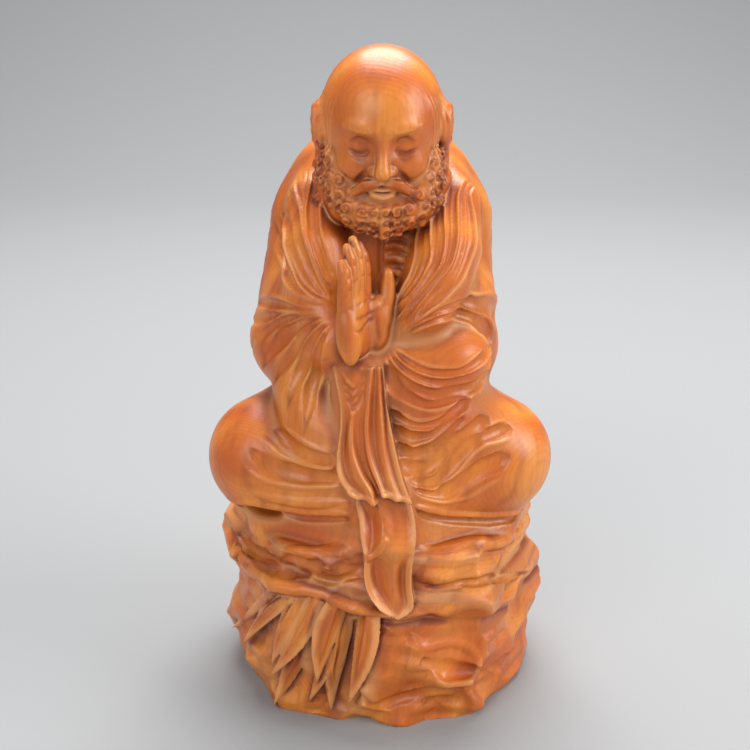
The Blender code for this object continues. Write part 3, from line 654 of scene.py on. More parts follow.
def carve_chest(block):
    """The bare chest between the robe's two edges, with breastbone and ribs."""
    f = FIGURE
    right = [(-16.5, 1, 102), (-19.5, -9, 95), (-19, -17, 84), (-17.5, -20, 70), (-13, -24, 62)]
    left = [(16.5, 1, 102), (20, -10, 95), (18.6, -19, 84), (16, -23, 77), (11.5, -25, 69)]
    block.add(Limb(right, (6.5, 8.5, 10, 10, 9)), f, 5)
    block.add(Limb(left, (6.5, 8.5, 10, 10, 9)), f, 5)
    for side in SIDES:
        block.add(Ball((side * 22, -9, 65), (12, 14, 13)), f, 5)
    collar = [(-17, -3, 103), (-13, 9, 108), (0, 15, 110), (13, 9, 108), (17, -3, 103)]
    block.add(Limb(collar, 4.0), f, 3)
    ribs = family([(0, -16, 90), (4, -16, 92), (9, -18, 90)], [(0, -18, 76), (3, -18, 77), (7, -20, 75)], 5)
    drape(block, f, ribs, 1.8, 1.1)
    drape(block, f, [[(0, -16, 94), (-0.3, -16, 84), (-0.5, -18, 74)]], 1.3, -0.7)


# Fold lines of the robe, in the figure's units, each set from its first line to its last.
# These run from the right shoulder down to the wrist
SHOULDER_FOLDS = [
    [(-15, -6, 107), (-18.1, -18.1, 97.6), (-17.5, -24.2, 90.9), (-15.7, -26.7, 84.4),
     (-13.4, -27.6, 77.4)],
    [(-19, -6, 105), (-21.5, -20.4, 94.8), (-20.3, -26.7, 86.8), (-17.5, -28.3, 79.5),
     (-13.9, -28.9, 73.4)],
    [(-25, -2, 102), (-23.6, -17, 97.3), (-22.7, -23.6, 90.7), (-18, -28.7, 77.7), (-13.9, -29.5, 72.1)],
    [(-30, -2, 94), (-28.2, -18.6, 88.1), (-23.7, -27.2, 75.8), (-19.9, -29.4, 73.1), (-13.8, -30.2, 70.9)],
    [(-32, 4, 88), (-31.5, -5.2, 79.2), (-26.8, -24.1, 74), (-21.4, -29.1, 72.2), (-13.6, -30.5, 70.2)]]
# Round the right elbow, from the wrist like the spokes of a wheel
ELBOW_FOLDS = [
    [(-36, 8, 66), (-37.2, -2.7, 65), (-31.7, -16.6, 69.3), (-26.3, -25.3, 69.9), (-13.8, -31.2, 69.2)],
    [(-37, 8, 56), (-38, -3.2, 61), (-31.7, -18.2, 65.2), (-23.9, -27.6, 68.1), (-13.8, -31.5, 68.8)],
    [(-38, 2, 48), (-37.4, -12.2, 57.7), (-27.5, -23.4, 66.1), (-20.4, -30, 68.1), (-13.8, -31.9, 68.2)],
    [(-37, -6, 44), (-34.5, -17.2, 54.7), (-30.7, -20, 60.2), (-23.9, -27.2, 65.6), (-13.6, -32, 68)],
    [(-33, -16, 42), (-29.8, -22.1, 52.8), (-25, -26.1, 60.2), (-20.4, -30.8, 65.2), (-13.4, -32.1, 67.8)],
    [(-28, -25, 40), (-27.7, -26.7, 48.2), (-23, -29.4, 58.3), (-19, -32.5, 64.3), (-13.4, -32.3, 67.6)],
    [(-24, -30, 32), (-22.7, -30.1, 46.5), (-20, -33, 57), (-17.1, -34.1, 63.4), (-13.1, -32.6, 67.2)],
    [(-18, -33, 28), (-18.4, -31, 44.7), (-17.2, -34.6, 55.1), (-15.7, -35.2, 62.2), (-12.9, -32.9, 66.8)]]
# From the left shoulder down to the forearm
CHEST_FOLDS = [
    [(13, -10, 103), (12, -19, 95), (10.1, -18.9, 90.1), (9.4, -28.4, 82.4), (3.5, -29.3, 70.7)],
    [(17, -8, 105), (13.7, -22.6, 92.4), (13.5, -30.2, 83.9), (10.3, -32.1, 76.8), (4, -30.4, 69.6)],
    [(21, -5, 105), (17.5, -19.9, 97), (17.6, -28.3, 88.1), (15.7, -32.4, 80.6), (3.4, -30.5, 65.6)],
    [(25, -3, 103), (21.2, -17.9, 99), (21.4, -25.5, 91.2), (19.9, -30.2, 83.9), (6.7, -32.4, 66.2)],
    [(29, 0, 100), (25.2, -15.7, 98.9), (26.9, -21.2, 90.2), (22.8, -30.3, 78.2), (7.1, -32.3, 64.7)]]
# Ovals over the left forearm
FOREARM_OVALS = [
    [(3.4, -30.7, 60.7), (8.9, -33.5, 67), (15.9, -33.3, 71.4), (23, -29.1, 73), (33, -10, 68),
     (35, -2, 60)],
    [(4.8, -31.1, 61.8), (11.3, -33.9, 67.1), (17.3, -32.3, 69.1), (25, -23, 67.2), (32, -14, 60),
     (34, -6, 54)],
    [(6.7, -31.5, 61.5), (12.7, -33.6, 66.1), (18.9, -29.7, 66.3), (25.5, -23.2, 63.8), (30, -22, 57),
     (30, -24, 53)]]
# Arcs that hang under it
FOREARM_ARCS = [
    [(2.3, -30.7, 59.5), (7.2, -34, 56.4), (13.7, -34.9, 53.7), (20.9, -33.6, 52.8), (30.3, -23, 56.4)],
    [(2.1, -30.8, 59.3), (5.3, -34.6, 55.1), (11.4, -35.8, 51.6), (19.5, -34.1, 50), (32, -20, 54)],
    [(1.1, -31.1, 58.4), (3.9, -35, 53.8), (9.5, -36.3, 49.3), (17.1, -34.7, 46.7), (32.5, -20, 50)],
    [(0.6, -31.3, 57.9), (2, -35, 52.8), (6.3, -36.1, 47.2), (12.4, -35.8, 44.2), (30, -24, 46.2)],
    [(0.4, -35.2, 51.4), (4.9, -35.6, 44.8), (12.5, -35.9, 40.8), (19.6, -34.4, 41.6), (29, -26, 45)]]
# Swags from the stole to the left knee
SWAGS = [
    [(1.1, -34.9, 43.8), (4.3, -34.4, 39.5), (10.7, -36, 37.4), (17, -35.6, 38.6), (27, -29.2, 43.7)],
    [(1.7, -32.8, 37.5), (6.9, -35.1, 35), (13.2, -36, 34.7), (18.4, -35.3, 37.8), (23.6, -32.3, 41.5)],
    [(3.1, -33.4, 32.2), (8.2, -34.7, 29.2), (13.9, -35.6, 31), (19, -35.2, 35.4), (23.5, -33, 39.5)],
    [(3.7, -34, 28.2), (8.9, -35.3, 23.9), (14.7, -34.9, 24.4), (19.2, -34.8, 30), (24, -33, 37)],
    [(5.6, -35.6, 24), (10.2, -35.9, 20.6), (15.4, -35.1, 21), (25, -33.2, 32.8), (37.6, -22.4, 33.3)],
    [(7.6, -37, 19.7), (12.2, -36.2, 16.5), (17.5, -34.8, 15.8), (28.4, -31.7, 28), (38, -25, 28)],
    [(8.9, -37.4, 16.3), (13.6, -36, 12.8), (19.6, -33.7, 11), (25.6, -31.6, 11.4), (36, -29.5, 18)]]
# Over the right shin and knee, and along the shin
KNEE_FOLDS = [
    [(-29.9, -26.5, 34.3), (-24.9, -32.8, 31.9), (-20.1, -35.8, 29.7), (-14, -37.4, 28.5)],
    [(-37, -24, 29.5), (-30, -29, 24.2), (-23.7, -31.7, 22.4), (-13.5, -37.6, 23.9)],
    [(-43, -26, 22), (-34, -30.5, 16), (-25, -32.3, 15.2), (-11.5, -36.4, 17.4)]]
SHIN_FOLDS = [
    [(-40, -28.6, 13), (-30, -31, 9.8), (-20, -32.5, 10.4), (-9.5, -36.8, 13)]]
# The robe's hems along the rock
HEMS = [
    [(-47.1, -19, 7), (-39.5, -26.9, 7.6), (-32.9, -28.1, 6.8), (-24.4, -30.1, 6.2), (-15.3, -34.6, 7.9),
     (-8.5, -37.4, 9.2)],
    [(9.1, -38, 12.3), (14.2, -35.3, 9.1), (20.3, -31.8, 6.1), (31, -25.7, 2.9), (37.6, -22.6, 2),
     (46, -10, 0)]]


def carve_folds(block, plain):
    """Every fold of the robe, set by set, laid on plain, the block as it was before them."""
    f = FIGURE
    # Long plain folds on the back, down the sides and round the knees
    back = family([(-24, 18, 104), (-25, 26, 74), (-26, 27, 44), (-33, 24, 12)],
                  [(24, 18, 104), (25, 26, 74), (26, 27, 44), (33, 24, 12)], 9)
    plains = []
    for side in SIDES:
        plains += family(on_side(side, [(32, 6, 92), (34, 13, 62), (32, 19, 32)]),
                         on_side(side, [(37, 0, 74), (38, 6, 50), (36, 13, 32)]), 4)
        plains += family(on_side(side, [(46, 8, 30), (44, 20, 18), (34, 30, 8)]),
                         on_side(side, [(50, 0, 12), (46, 14, 4), (36, 27, 0)]), 4)
    wide_folds = [(plain.lay(f, back), 4.2, 2.0), (plain.lay(f, plains), 3.0, 1.5)]
    for keys, deep, rim, fade in (
            (SHOULDER_FOLDS, 0.28, 0.3, 0.4), (doubled(SHOULDER_FOLDS), 0.78, 0.25, 0.4),
            (ELBOW_FOLDS, 0.62, 0.3, 0.5), (CHEST_FOLDS, 0.28, 0.35, 0.4),
            (doubled(CHEST_FOLDS), 0.75, 0.25, 0.4), (FOREARM_OVALS, 0.75, 0.45, 0.15),
            (FOREARM_ARCS, 0.75, 0.4, 0.1), (SWAGS, 0.85, 0.45, 0.12), (KNEE_FOLDS, 0.55, 0.95, 0.3)):
        flutes(block, plain, f, keys, deep, rim, fade)
    block.strokes(plain.lay(f, SHIN_FOLDS), 2.4, 1.3, 1.6, 0.3)
    rims = plain.lay(f, HEMS)
    block.strokes(rims, 1.6, 1.1, 1.3, 0.12)
    block.strokes([block.settle(line + (0, 1.4, -2.0)) for line in rims], 1.7, -2.4, 1.0, 0.15)
    block.cut(Ball((-38, -25, 3.2), (8, 7, 2.4)), f, 1.5)
    for paths, width, height in wide_folds:
        block.strokes(paths, width, height, 1.6, 0.25)


def carve_stole_ground(block):
    """The cloth behind the stole, down to the rock's ledge."""
    f = FIGURE
    block.add(Limb([(0, -30, 16), (4, -32, 2), (4, -34, -12)], (9, 8, 7)), f, 4)
    behind = [(-7.5, -31.5, 53), (-7, -33, 37), (-4, -35.5, 23), (-0.5, -37, 15)]
    block.add(Limb(behind, 4.4, (1.7, 1, 1)), f, 2)


# Fold lines of the stole, in the figure's units, from the figure's right to its left.
# These are of the long end, down to its turned corner
STOLE_END = [
    [(-6.2, -38.6, 20), (-7.7, -41.2, 14.2), (-6.6, -42.4, 9.3), (-6.1, -44.8, 3.6), (-5.1, -46.8, -0.4),
     (-5.5, -47, -4.8), (-4.6, -47.2, -10.9), (-1.8, -48.5, -15.8), (0.9, -49, -18), (4.3, -49.2, -19.7)],
    [(-4, -38.4, 20), (-4.4, -39.4, 14.2), (-3.2, -40.2, 9.5), (-2.8, -42.8, 5), (-3.6, -45.8, 1),
     (-4.2, -45.4, -4), (-3.2, -45.2, -11), (0.2, -47, -15.8), (2.4, -48, -18), (4.4, -48.6, -19.7)],
    [(-1.6, -38.4, 20), (-1.3, -42.2, 14.2), (0.4, -43.2, 9.8), (0.8, -44.8, 6.1), (-1.3, -46.6, 2.1),
     (-2.4, -44.2, -3.5), (-1.3, -44.2, -10.9), (2.1, -46.2, -15.8), (3.4, -47.6, -18),
     (4.5, -48.6, -19.7)],
    [(1.2, -38.4, 20), (2.6, -41, 14.2), (4.2, -42, 9.3), (4.2, -44.6, 4.6), (3.7, -46.8, 0.6),
     (3.1, -45.8, -4.8), (3.2, -46, -10.9), (4.3, -47.2, -16.4), (4.6, -48.4, -19.7)],
    [(3.8, -38.4, 20), (5.9, -40.4, 14.2), (7.3, -41.4, 9.3), (7.3, -43.9, 4.6), (6.7, -46.2, 0.6),
     (6.5, -44.2, -4.8), (6.2, -44.4, -10.9), (6.5, -46.6, -16.4), (5.6, -48, -19), (4.7, -48.6, -19.8)],
    [(6, -38.6, 20), (8.4, -41.4, 13.7), (9.8, -42.8, 8.2), (9.9, -44.8, 3.6), (9.1, -46.8, -0.9),
     (8.5, -46.8, -6.7), (8.8, -47.4, -13.1), (9.2, -48.2, -16.4), (7.4, -48.8, -18.6),
     (4.8, -49.1, -19.9)]]
# These are of the upper cloth, from the right wrist down to the hem
STOLE_CLOTH = [
    [(-13.7, -35.6, 52.1), (-12.4, -36.4, 45.7), (-11.6, -37.2, 39.6), (-12.3, -38.6, 33),
     (-13.1, -40, 26.6), (-12.7, -41.2, 22.8), (-10.1, -42.4, 18.5), (-6.8, -42.8, 15)],
    [(-12, -35, 50), (-10.6, -35.4, 43.5), (-10.2, -36.4, 38.5), (-10.9, -37.4, 33), (-11.3, -38.6, 27.6),
     (-10.2, -40.2, 22.8), (-6.6, -41.4, 17.9), (-5.2, -41.6, 14)],
    [(-9.6, -35.9, 50), (-8.4, -37.1, 42.9), (-8.6, -38.3, 37.9), (-9.2, -39.6, 34.1), (-8.5, -40.8, 28.7),
     (-6.2, -42.1, 23.4), (-3.2, -43.2, 18.5), (-2.2, -43.4, 14)],
    [(-5.6, -34.8, 53), (-6.1, -35.2, 45.1), (-6.4, -35.8, 38.5), (-6, -37, 30.9), (-4.9, -38.2, 25.5),
     (-2.9, -39.6, 21.2), (-1, -40.6, 17.9), (-0.7, -41.8, 14)],
    [(-2.6, -35.7, 56.8), (-3.4, -36.6, 50.7), (-4, -37.4, 45.1), (-4.6, -38.4, 37.9), (-4.4, -39.6, 31.9),
     (-3.3, -40.7, 26.6), (-1.2, -42, 21.2), (0.4, -43, 17.1)],
    [(-1.7, -34.8, 56), (-2.1, -35.2, 48.4), (-2.6, -36, 42.4), (-2.6, -37, 35.7), (-2, -38.4, 29.8),
     (-0.5, -40, 23.9), (1.4, -41.7, 18.5), (2, -42.2, 15)],
    [(-1.1, -35.6, 56), (-0.7, -36.6, 47.9), (-0.1, -37.8, 39.6), (0.2, -39.4, 31.4), (0.9, -40.6, 26),
     (2.4, -42, 20.7), (4.4, -42.8, 16.2)],
    [(-0.4, -35, 55), (0.5, -35.8, 43.5), (1.3, -37.1, 35.7), (2.3, -38.6, 28.7), (3.6, -40.1, 23.4),
     (5.9, -41.6, 17.4)],
    [(0.4, -35.6, 54), (1.2, -36.6, 43.5), (2.6, -38, 35.7), (4.5, -40.2, 26.6), (6, -41.8, 20.7),
     (8.5, -42.8, 14.6)]]


def carve_stole(block):
    """The stole: a cloth with two deep folds from the wrist, over a longer, turned end."""
    f = FIGURE
    block.add(Fall(STOLE_END, 19, 13, [(-20, -19.9), (20, -19.9)]), f, 0.4)
    turned = [(1.4, -47, 6.4), (-0.5, -47, 3.1), (-2.4, -48, 0.6), (-4.6, -48, -2.2)]
    drape(block, f, [turned], 1.5, 1.0, 1.2, 0.15)
    hem = [(-14, 24), (-13, 22.5), (-10.1, 18.5), (-6.8, 16.2), (-3.6, 15.0), (-1.3, 14.4),
           (-0.7, 17.8), (2, 16.6), (6, 15.3), (9, 14.6)]
    block.add(Fall(STOLE_CLOTH, 54, 12, hem), f, 0.5)
    top = [(-12.2, -37, 54), (-10.8, -37, 50), (-8.2, -38, 48.2), (-6.4, -38, 50.2), (-5.4, -37, 55)]
    low = [(-10.8, -38, 46.5), (-9.4, -38, 42.6), (-7.6, -39, 40.8), (-6.6, -38, 42.4), (-5.8, -38, 46)]
    flutes(block, block.copy(), f, family(top, low, 4), 0.62, 0.5, 0.3)
    rims = [[(x, -44, z + 0.7) for x, z in hem[2:6]], [(x, -44, z + 0.7) for x, z in hem[6:]]]
    drape(block, f, rims, 1.3, 0.7, 1.3, 0.1)


HEAD_TILT = radians(12)
HEAD = FIGURE.child((0, -14, 118), [
    (1, 0, 0), (0, -cos(HEAD_TILT), -sin(HEAD_TILT)), (0, -sin(HEAD_TILT), cos(HEAD_TILT))])


def carve_head(block):
    """The bald head in its own frame: x across, y forward through the face, z up.

    The face is a calm one of plain measures: eyes at half its height, an eye's
    width between them, the nose's foot a third of the way up from chin to brow.
    """
    h = HEAD
    block.add(Ball((0, -1.5, 4.6), (17.0, 19.2, 17.6)), h, 1)
    block.add(Ball((0, 3.5, -5), (13.4, 14, 15.5)), h, 4)
    # Fringe of hair round the sides and back
    block.add(Ball((0, -5, 1.5), (18.3, 17.6, 12.5)), h, 0.6)
    for side in SIDES:
        brow = on_side(side, [(10.5, 11.6, 4.2), (8, 14.4, 6.2), (5, 15.8, 6.3), (2, 16.3, 4.9)])
        block.add(Limb(brow, (1.0, 1.5, 1.6, 1.3)), h, 2)
        block.cut(Ball((side * 6, 18.8, 0.2), (4.4, 3.6, 3.3)), h, 2)
        block.add(Ball((side * 6, 12.7, 0), (3.6, 3.1, 2.7)), h, 0.5)
        block.add(Ball((side * 7.4, 11.8, -5.8), (4.6, 4.2, 4)), h, 3)
        block.add(Ball((side * 2.4, 17.4, -6.2), (1.5, 1.7, 1.5)), h, 0.8)
    block.add(Limb([(0, 15.6, 3), (0, 17.9, -2.0), (0, 19.9, -5.8)], (1.35, 1.55, 2.1)), h, 1.4)
    for side in SIDES:
        block.cut(Ball((side * 1.35, 19.0, -7.9), (0.75, 0.9, 0.7)), h, 0.3)
    block.add(Ball((0, 12.6, -11.5), (6, 4.6, 5)), h, 2)
    upper = [(-3.3, 16.4, -12.2), (-1.2, 17.4, -11.6), (0, 17.5, -11.9), (1.2, 17.4, -11.6),
             (3.3, 16.4, -12.2)]
    lower = [(-2.6, 16.6, -13.3), (0, 17.5, -13.8), (2.6, 16.6, -13.3)]
    for lip in (upper, lower):
        block.add(Limb(lip, 0.75), h, 0.6)
    drape(block, h, [[(-3.4, 17.4, -12.5), (0, 18.6, -12.6), (3.4, 17.4, -12.5)]], 0.7, -0.7, 1.0, 0.2)
    # The lid's crease, the lashes, the fold under the eye and the cheek's, each with its
    # width, height and taper
    marks = [([(2.9, 15.2, 0.6), (4.4, 16.4, 2.4), (6.6, 16.2, 2.9), (9.2, 13.8, 1.2)], 0.65, -0.5, 0.3),
             ([(3, 15.2, -0.3), (4.8, 16.4, -1.5), (7, 16, -1.6), (9.4, 13.4, -0.2)], 0.7, -0.75, 0.2),
             ([(3.6, 15.6, -2.6), (6, 16, -3.5), (8.6, 14, -2.6)], 0.9, -0.3, 0.4),
             ([(4, 16.2, -5.4), (5.8, 15.4, -8.2), (7, 14.4, -10.5)], 1.1, -0.6, 0.3)]
    for side in SIDES:
        for points, width, height, taper in marks:
            drape(block, h, [on_side(side, points)], width, height, 1.0, taper)
        hairs = [on_side(side, [(2.6 + i, 16.8 - 0.04 * i * i, 4.2 + 0.12 * i),
                                (3.8 + i, 16.6 - 0.07 * i * i, 6.6)]) for i in range(8)]
        drape(block, h, hairs, 0.62, 0.55, 1.0, 0.3)


def carve_ears(block):
    """Long-lobed ears, each a raised rim round a hollow."""
    h = HEAD
    for side in SIDES:
        block.add(Ball((side * 17.4, 0.5, 0.5), (2.6, 4.4, 7.0)), h, 0.8)
        block.add(Ball((side * 16.8, 1.4, -7.5), (2.0, 2.6, 4.5)), h, 1)
        block.cut(Ball((side * 20.2, 1.6, 1.2), (1.8, 2.2, 4.2)), h, 0.8)
        rim = on_side(side, [(18.8, 3.8, 0), (19.4, 4.2, 4), (19.8, 1.4, 7), (19.8, -2.2, 5.2),
                             (19.4, -3, 0), (18.8, -1.2, -5)])
        drape(block, h, [rim], 1.0, 0.9, 1.4, 0.2)


def curls(block, spots, radius, turns=1.2):
    """Tight curls: a low ball at each spot, with a spiral gouged into its face."""
    spirals = []
    for i, spot in enumerate(spots):
        size = radius * (1.0 + 0.08 * sin(2.4 * i))
        spot = block.settle(spot[None])[0]
        out = block.normal(spot[None], 2.2)[0]
        middle = spot - out * 0.3 * size
        block.add(Ball(middle, 1.02 * size), WORLD, 0.4)
        across = np.cross(out, (0, 0, 1.0))
        across /= np.linalg.norm(across)
        up = np.cross(across, out)
        t = np.linspace(0.0, 1.0, 26)[:, None]
        turn = (-1) ** i * (2 * pi * turns * t + 1.7 * i)
        far = size * (0.08 + 0.72 * t)
        rise = 1.02 * np.sqrt(size ** 2 - far ** 2)
        spirals.append(middle + out * rise + across * far * np.cos(turn) + up * far * np.sin(turn))
    block.strokes(spirals, 0.62, -1.05, 0.8, 0.06)


def carve_beard(block):
    """A full beard from ear to ear set with curls, a moustache, and a hair fringe."""
    h = HEAD
    block.add(Ball((0, 8.5, -19), (12.5, 9.5, 8)), h, 2)
    for side in SIDES:
        jaw = on_side(side, [(15.4, 2, -8), (14.8, 5, -14), (10.5, 10, -20), (0, 12.5, -22.5)])
        block.add(Limb(jaw, (3.2, 4.4, 4.8, 4.6)), h, 1.5)
        cheek = on_side(side, [(13.4, 7.4, -7), (11.2, 11.2, -12.5), (7.4, 14, -18)])
        block.add(Limb(cheek, (2.4, 3.2, 3.2)), h, 3)
    # Rows of curls, each with its height, half its width and its count, and the share of
    # the width that the first rows leave free for the mouth
    rows = [(-9.6, 16.4, 16), (-12.6, 16.4, 15), (-15.6, 16.4, 16), (-18.4, 15.8, 15),
            (-21.2, 14.6, 14), (-24.0, 12.6, 11), (-26.6, 9.8, 8)]
    mouth = (0.82, 0.70, 0.52)
    spots = []
    for row, (low, wide, count) in enumerate(rows):
        for i in range(count):
            turn = radians(-86 + 172 * (i + 0.5 * (row % 2)) / (count - 0.5))
            if row < len(mouth) and abs(sin(turn)) < mouth[row]:
                continue
            spots.append(h.place([(wide * sin(turn), 3 + 13.8 * cos(turn), low + 6 * (1 - cos(turn)))])[0])
    curls(block, spots, 2.05)
    # Hair: waved locks down from the fringe's edge
    locks, sizes = [], []
    for side in SIDES:
        for i in range(22):
            turn = radians(58 + 122 * i / 21)
            lock = []
            for t in np.linspace(0.0, 1.0, 6):
                high = radians(42 - 78 * t)
                away = turn + 0.07 * sin(7 * t + 1.3 * i)
                lock.append((side * 18.3 * cos(high) * sin(away), -5 + 17.6 * cos(high) * cos(away),
                             1.5 + 12.5 * sin(high)))
            locks.append(lock)
            sizes.append(1.0 if i % 2 else 0.8)
    drape(block, h, locks, 1.15, 0.85, 1.2, 0.2, sizes)
    # Straight locks combed down before the ears
    combed = [on_side(side, [(13.4 + 0.75 * i, 10.5 - 1.8 * i, 15 - 0.4 * i),
                             (15.2 + 0.5 * i, 10.2 - 1.8 * i, 7), (15.8 + 0.4 * i, 9.2 - 1.7 * i, 0),
                             (15.6 + 0.4 * i, 8.4 - 1.6 * i, -6.5)])
              for side in SIDES for i in range(7)]
    drape(block, h, combed, 0.8, 0.6, 1.2, 0.25)
    for side in SIDES:
        lip = on_side(side, [(0.9, 18, -8.9), (4.6, 17.2, -10.3), (8.2, 14.8, -13.8), (9.6, 12.8, -17.4)])
        block.add(Limb(lip, (1.2, 1.7, 1.3, 0.7)), h, 0.5)
        strands = [on_side(side, [(0.9 + 0.2 * i, 19.4, -8.3 - 0.55 * i),
                                  (4.6 - 0.1 * i, 18.8, -9.3 - 0.75 * i),
                                  (8.6 - 0.6 * i, 16.2, -12.6 - 0.7 * i), (9.4, 13.8, -17.2)])
                   for i in range(4)]
        drape(block, h, strands, 0.5, -0.4, 1.0, 0.2)


PALM_TURN = radians(57)
PALM_LEAN = radians(4)
HAND = FIGURE.child((-7.0, -34, 57), [
    (cos(PALM_LEAN) * cos(PALM_TURN), cos(PALM_LEAN) * sin(PALM_TURN), sin(PALM_LEAN)),
    (sin(PALM_TURN), -cos(PALM_TURN), 0),
    (-sin(PALM_LEAN) * cos(PALM_TURN), -sin(PALM_LEAN) * sin(PALM_TURN), cos(PALM_LEAN))])


def carve_hand(block):
    """The raised hand in its own frame: x from little finger to index, y out of
    the palm, z towards the fingertips."""
    h = HAND
    block.add(Ball((0, 0, 10), (8, 3.6, 11)), h, 0.8)
    block.add(Limb([(-9, -31, 62), (-15, -24, 57)], (6, 8)), FIGURE, 2)
    block.add(Ball((6.3, 2.4, 8), (4.2, 4, 8.5)), h, 2)
    block.add(Ball((-5.2, 1.3, 7), (3.1, 3.0, 8)), h, 2.5)
    for across, long in ((-5.3, 12.5), (-1.9, 16.2), (1.5, 17.6), (4.8, 15.2)):
        joints = [(across * 0.95, 0, 14), (across * 0.96, 0.2, 16 + long * 0.25),
                  (across * 0.94, 0.5, 16 + long * 0.55), (across * 0.9, 0.2, 16 + long * 0.82),
                  (across * 0.86, -0.6, 16 + long)]
        block.add(Limb(joints, (2.25, 2.1, 2.0, 1.8, 1.2)), h, 0.4)
        creases = [[(across - 1.5, 3 + rise, at), (across, 3.6 + rise, at - 0.2),
                    (across + 1.5, 3 + rise, at)]
                   for at, rise in ((16.6, 0), (16 + long * 0.45, 0.2), (16 + long * 0.74, 0))]
        drape(block, h, creases, 0.6, -0.35, 1.0, 0.2)
    thumb = [(7.5, 3.6, 10), (9.6, 4.4, 15.5), (10.3, 4.3, 19), (10.1, 4.6, 22)]
    block.add(Limb(thumb, (3.2, 2.6, 2.3, 1.6)), h, 1.2)
    lines = [[(3.2, 6, 14.5), (2.4, 6, 9), (3.4, 6, 2.5)], [(7, 6, 15), (1, 5, 12.6), (-6, 4.5, 13.5)],
             [(-7.6, 4, 10.5), (-2, 5, 9.4), (4.4, 6, 13.2)]]
    drape(block, h, lines, 0.8, -0.5, 1.0, 0.3)


def carve():
    """The whole statue, carved in the order that lets each piece lie on the last."""
    block = Block(GRID_X, GRID_Y, GRID_Z)
    for part in (carve_body, carve_legs, carve_chest, carve_rock, carve_stole_ground):
        part(block)
    carve_folds(block, block.copy())
    for part in (carve_cracks, carve_leaves, carve_stole, carve_head, carve_ears, carve_beard, carve_hand):
        part(block)
    return block


def full_mesh(block):
    """The block's skin as a mesh of small quads, in metres."""
    points, quads = block.skin()
    mesh = bpy.data.meshes.new("full_skin")
    mesh.vertices.add(len(points))
    mesh.vertices.foreach_set("co", (points * MM).astype(np.float32).ravel())
    mesh.loops.add(quads.size)
    mesh.loops.foreach_set("vertex_index", quads.ravel())
    mesh.polygons.add(len(quads))
    mesh.polygons.foreach_set("loop_start", np.arange(0, quads.size, 4, dtype=np.int32))
    mesh.update(calc_edges=True)
    return mesh


def fewer_triangles(mesh, count):
    """The mesh with its flat places drawn together, down to about count triangles."""
    thing = bpy.data.objects.new("skin", mesh)
    bpy.context.scene.collection.objects.link(thing)
    modifier = thing.modifiers.new("fewer", "DECIMATE")
    modifier.ratio = min(1.0, count / (2.0 * len(mesh.polygons)))
    modifier.use_collapse_triangulate = True
    depsgraph = bpy.context.evaluated_depsgraph_get()
    result = bpy.data.meshes.new_from_object(thing.evaluated_get(depsgraph))
    bpy.data.objects.remove(thing)
    return result


def mark_hollows(mesh, block):
    """Three values at each point, from the block's depths a little way off.

    hollow is how much nearer the wood is, CREASE_REACH outside the surface, than on a
    flat face; ridge is how much nearer the air is, as far inside it; wide_hollow is
    hollow at HOLLOW_REACH.
    """
    places = np.empty(len(mesh.vertices) * 3, np.float32)
    mesh.vertices.foreach_get("co", places)
    places = places.reshape(-1, 3) / MM
    out = block.normal(places)
    hollow = 1.0 - block.sample(places + out * CREASE_REACH) / CREASE_REACH
    ridge = 1.0 + block.sample(places - out * CREASE_REACH) / CREASE_REACH
    wide = 1.0 - block.sample(places + out * HOLLOW_REACH) / HOLLOW_REACH
    for name, values in (("hollow", hollow), ("ridge", ridge), ("wide_hollow", wide)):
        layer = mesh.attributes.new(name, "FLOAT", "POINT")
        layer.data.foreach_set("value", np.clip(values, 0.0, 1.0).astype(np.float32))


def one_shell(form):
    """Deletes slivers, and the few closed pockets that lie apart from the main skin."""
    bmesh.ops.dissolve_degenerate(form, dist=SLIVER, edges=form.edges)
    left, shells = set(form.verts), []
    while left:
        shell, front = set(), {left.pop()}
        while front:
            shell |= front
            front = {edge.other_vert(vert) for vert in front for edge in vert.link_edges} - shell
        left -= shell
        shells.append(shell)
    main = max(shells, key=len)
    bmesh.ops.delete(form, geom=[vert for vert in form.verts if vert not in main], context="VERTS")


def flat_underside(mesh):
    """Cuts the spare rock away, closes the cut and centres the statue over it."""
    form = bmesh.new()
    form.from_mesh(mesh)
    everything = form.verts[:] + form.edges[:] + form.faces[:]
    bmesh.ops.bisect_plane(form, geom=everything, dist=1e-6, plane_co=(0, 0, 0),
                           plane_no=(0, 0, 1), clear_inner=True)
    rim = [edge for edge in form.edges if edge.is_boundary]
    bmesh.ops.edgeloop_fill(form, edges=rim)
    bmesh.ops.triangulate(form, faces=[face for face in form.faces if len(face.verts) > 3])
    one_shell(form)
    places = np.array([vert.co for vert in form.verts])
    middle = 0.5 * (places.min(0) + places.max(0))
    bmesh.ops.translate(form, verts=form.verts, vec=(-middle[0], -middle[1], 0.0))
    form.to_mesh(mesh)
    form.free()
    return middle


block = carve()
skin = fewer_triangles(full_mesh(block), TRIANGLES)
# These values mask the wood's painted shade in creases and hollows and its painted highlight on the ridges
mark_hollows(skin, block)
middle = flat_underside(skin)
skin.shade_smooth()
statue = bpy.data.objects.new("monk_on_rock", skin)
bpy.context.scene.collection.objects.link(statue)


def srgb(code):
    """A colour written as sRGB hex, as linear red, green, blue and alpha."""
    parts = [int(code[i:i + 2], 16) / 255 for i in (0, 2, 4)]
    return [p / 12.92 if p <= 0.04045 else ((p + 0.055) / 1.055) ** 2.4 for p in parts] + [1.0]


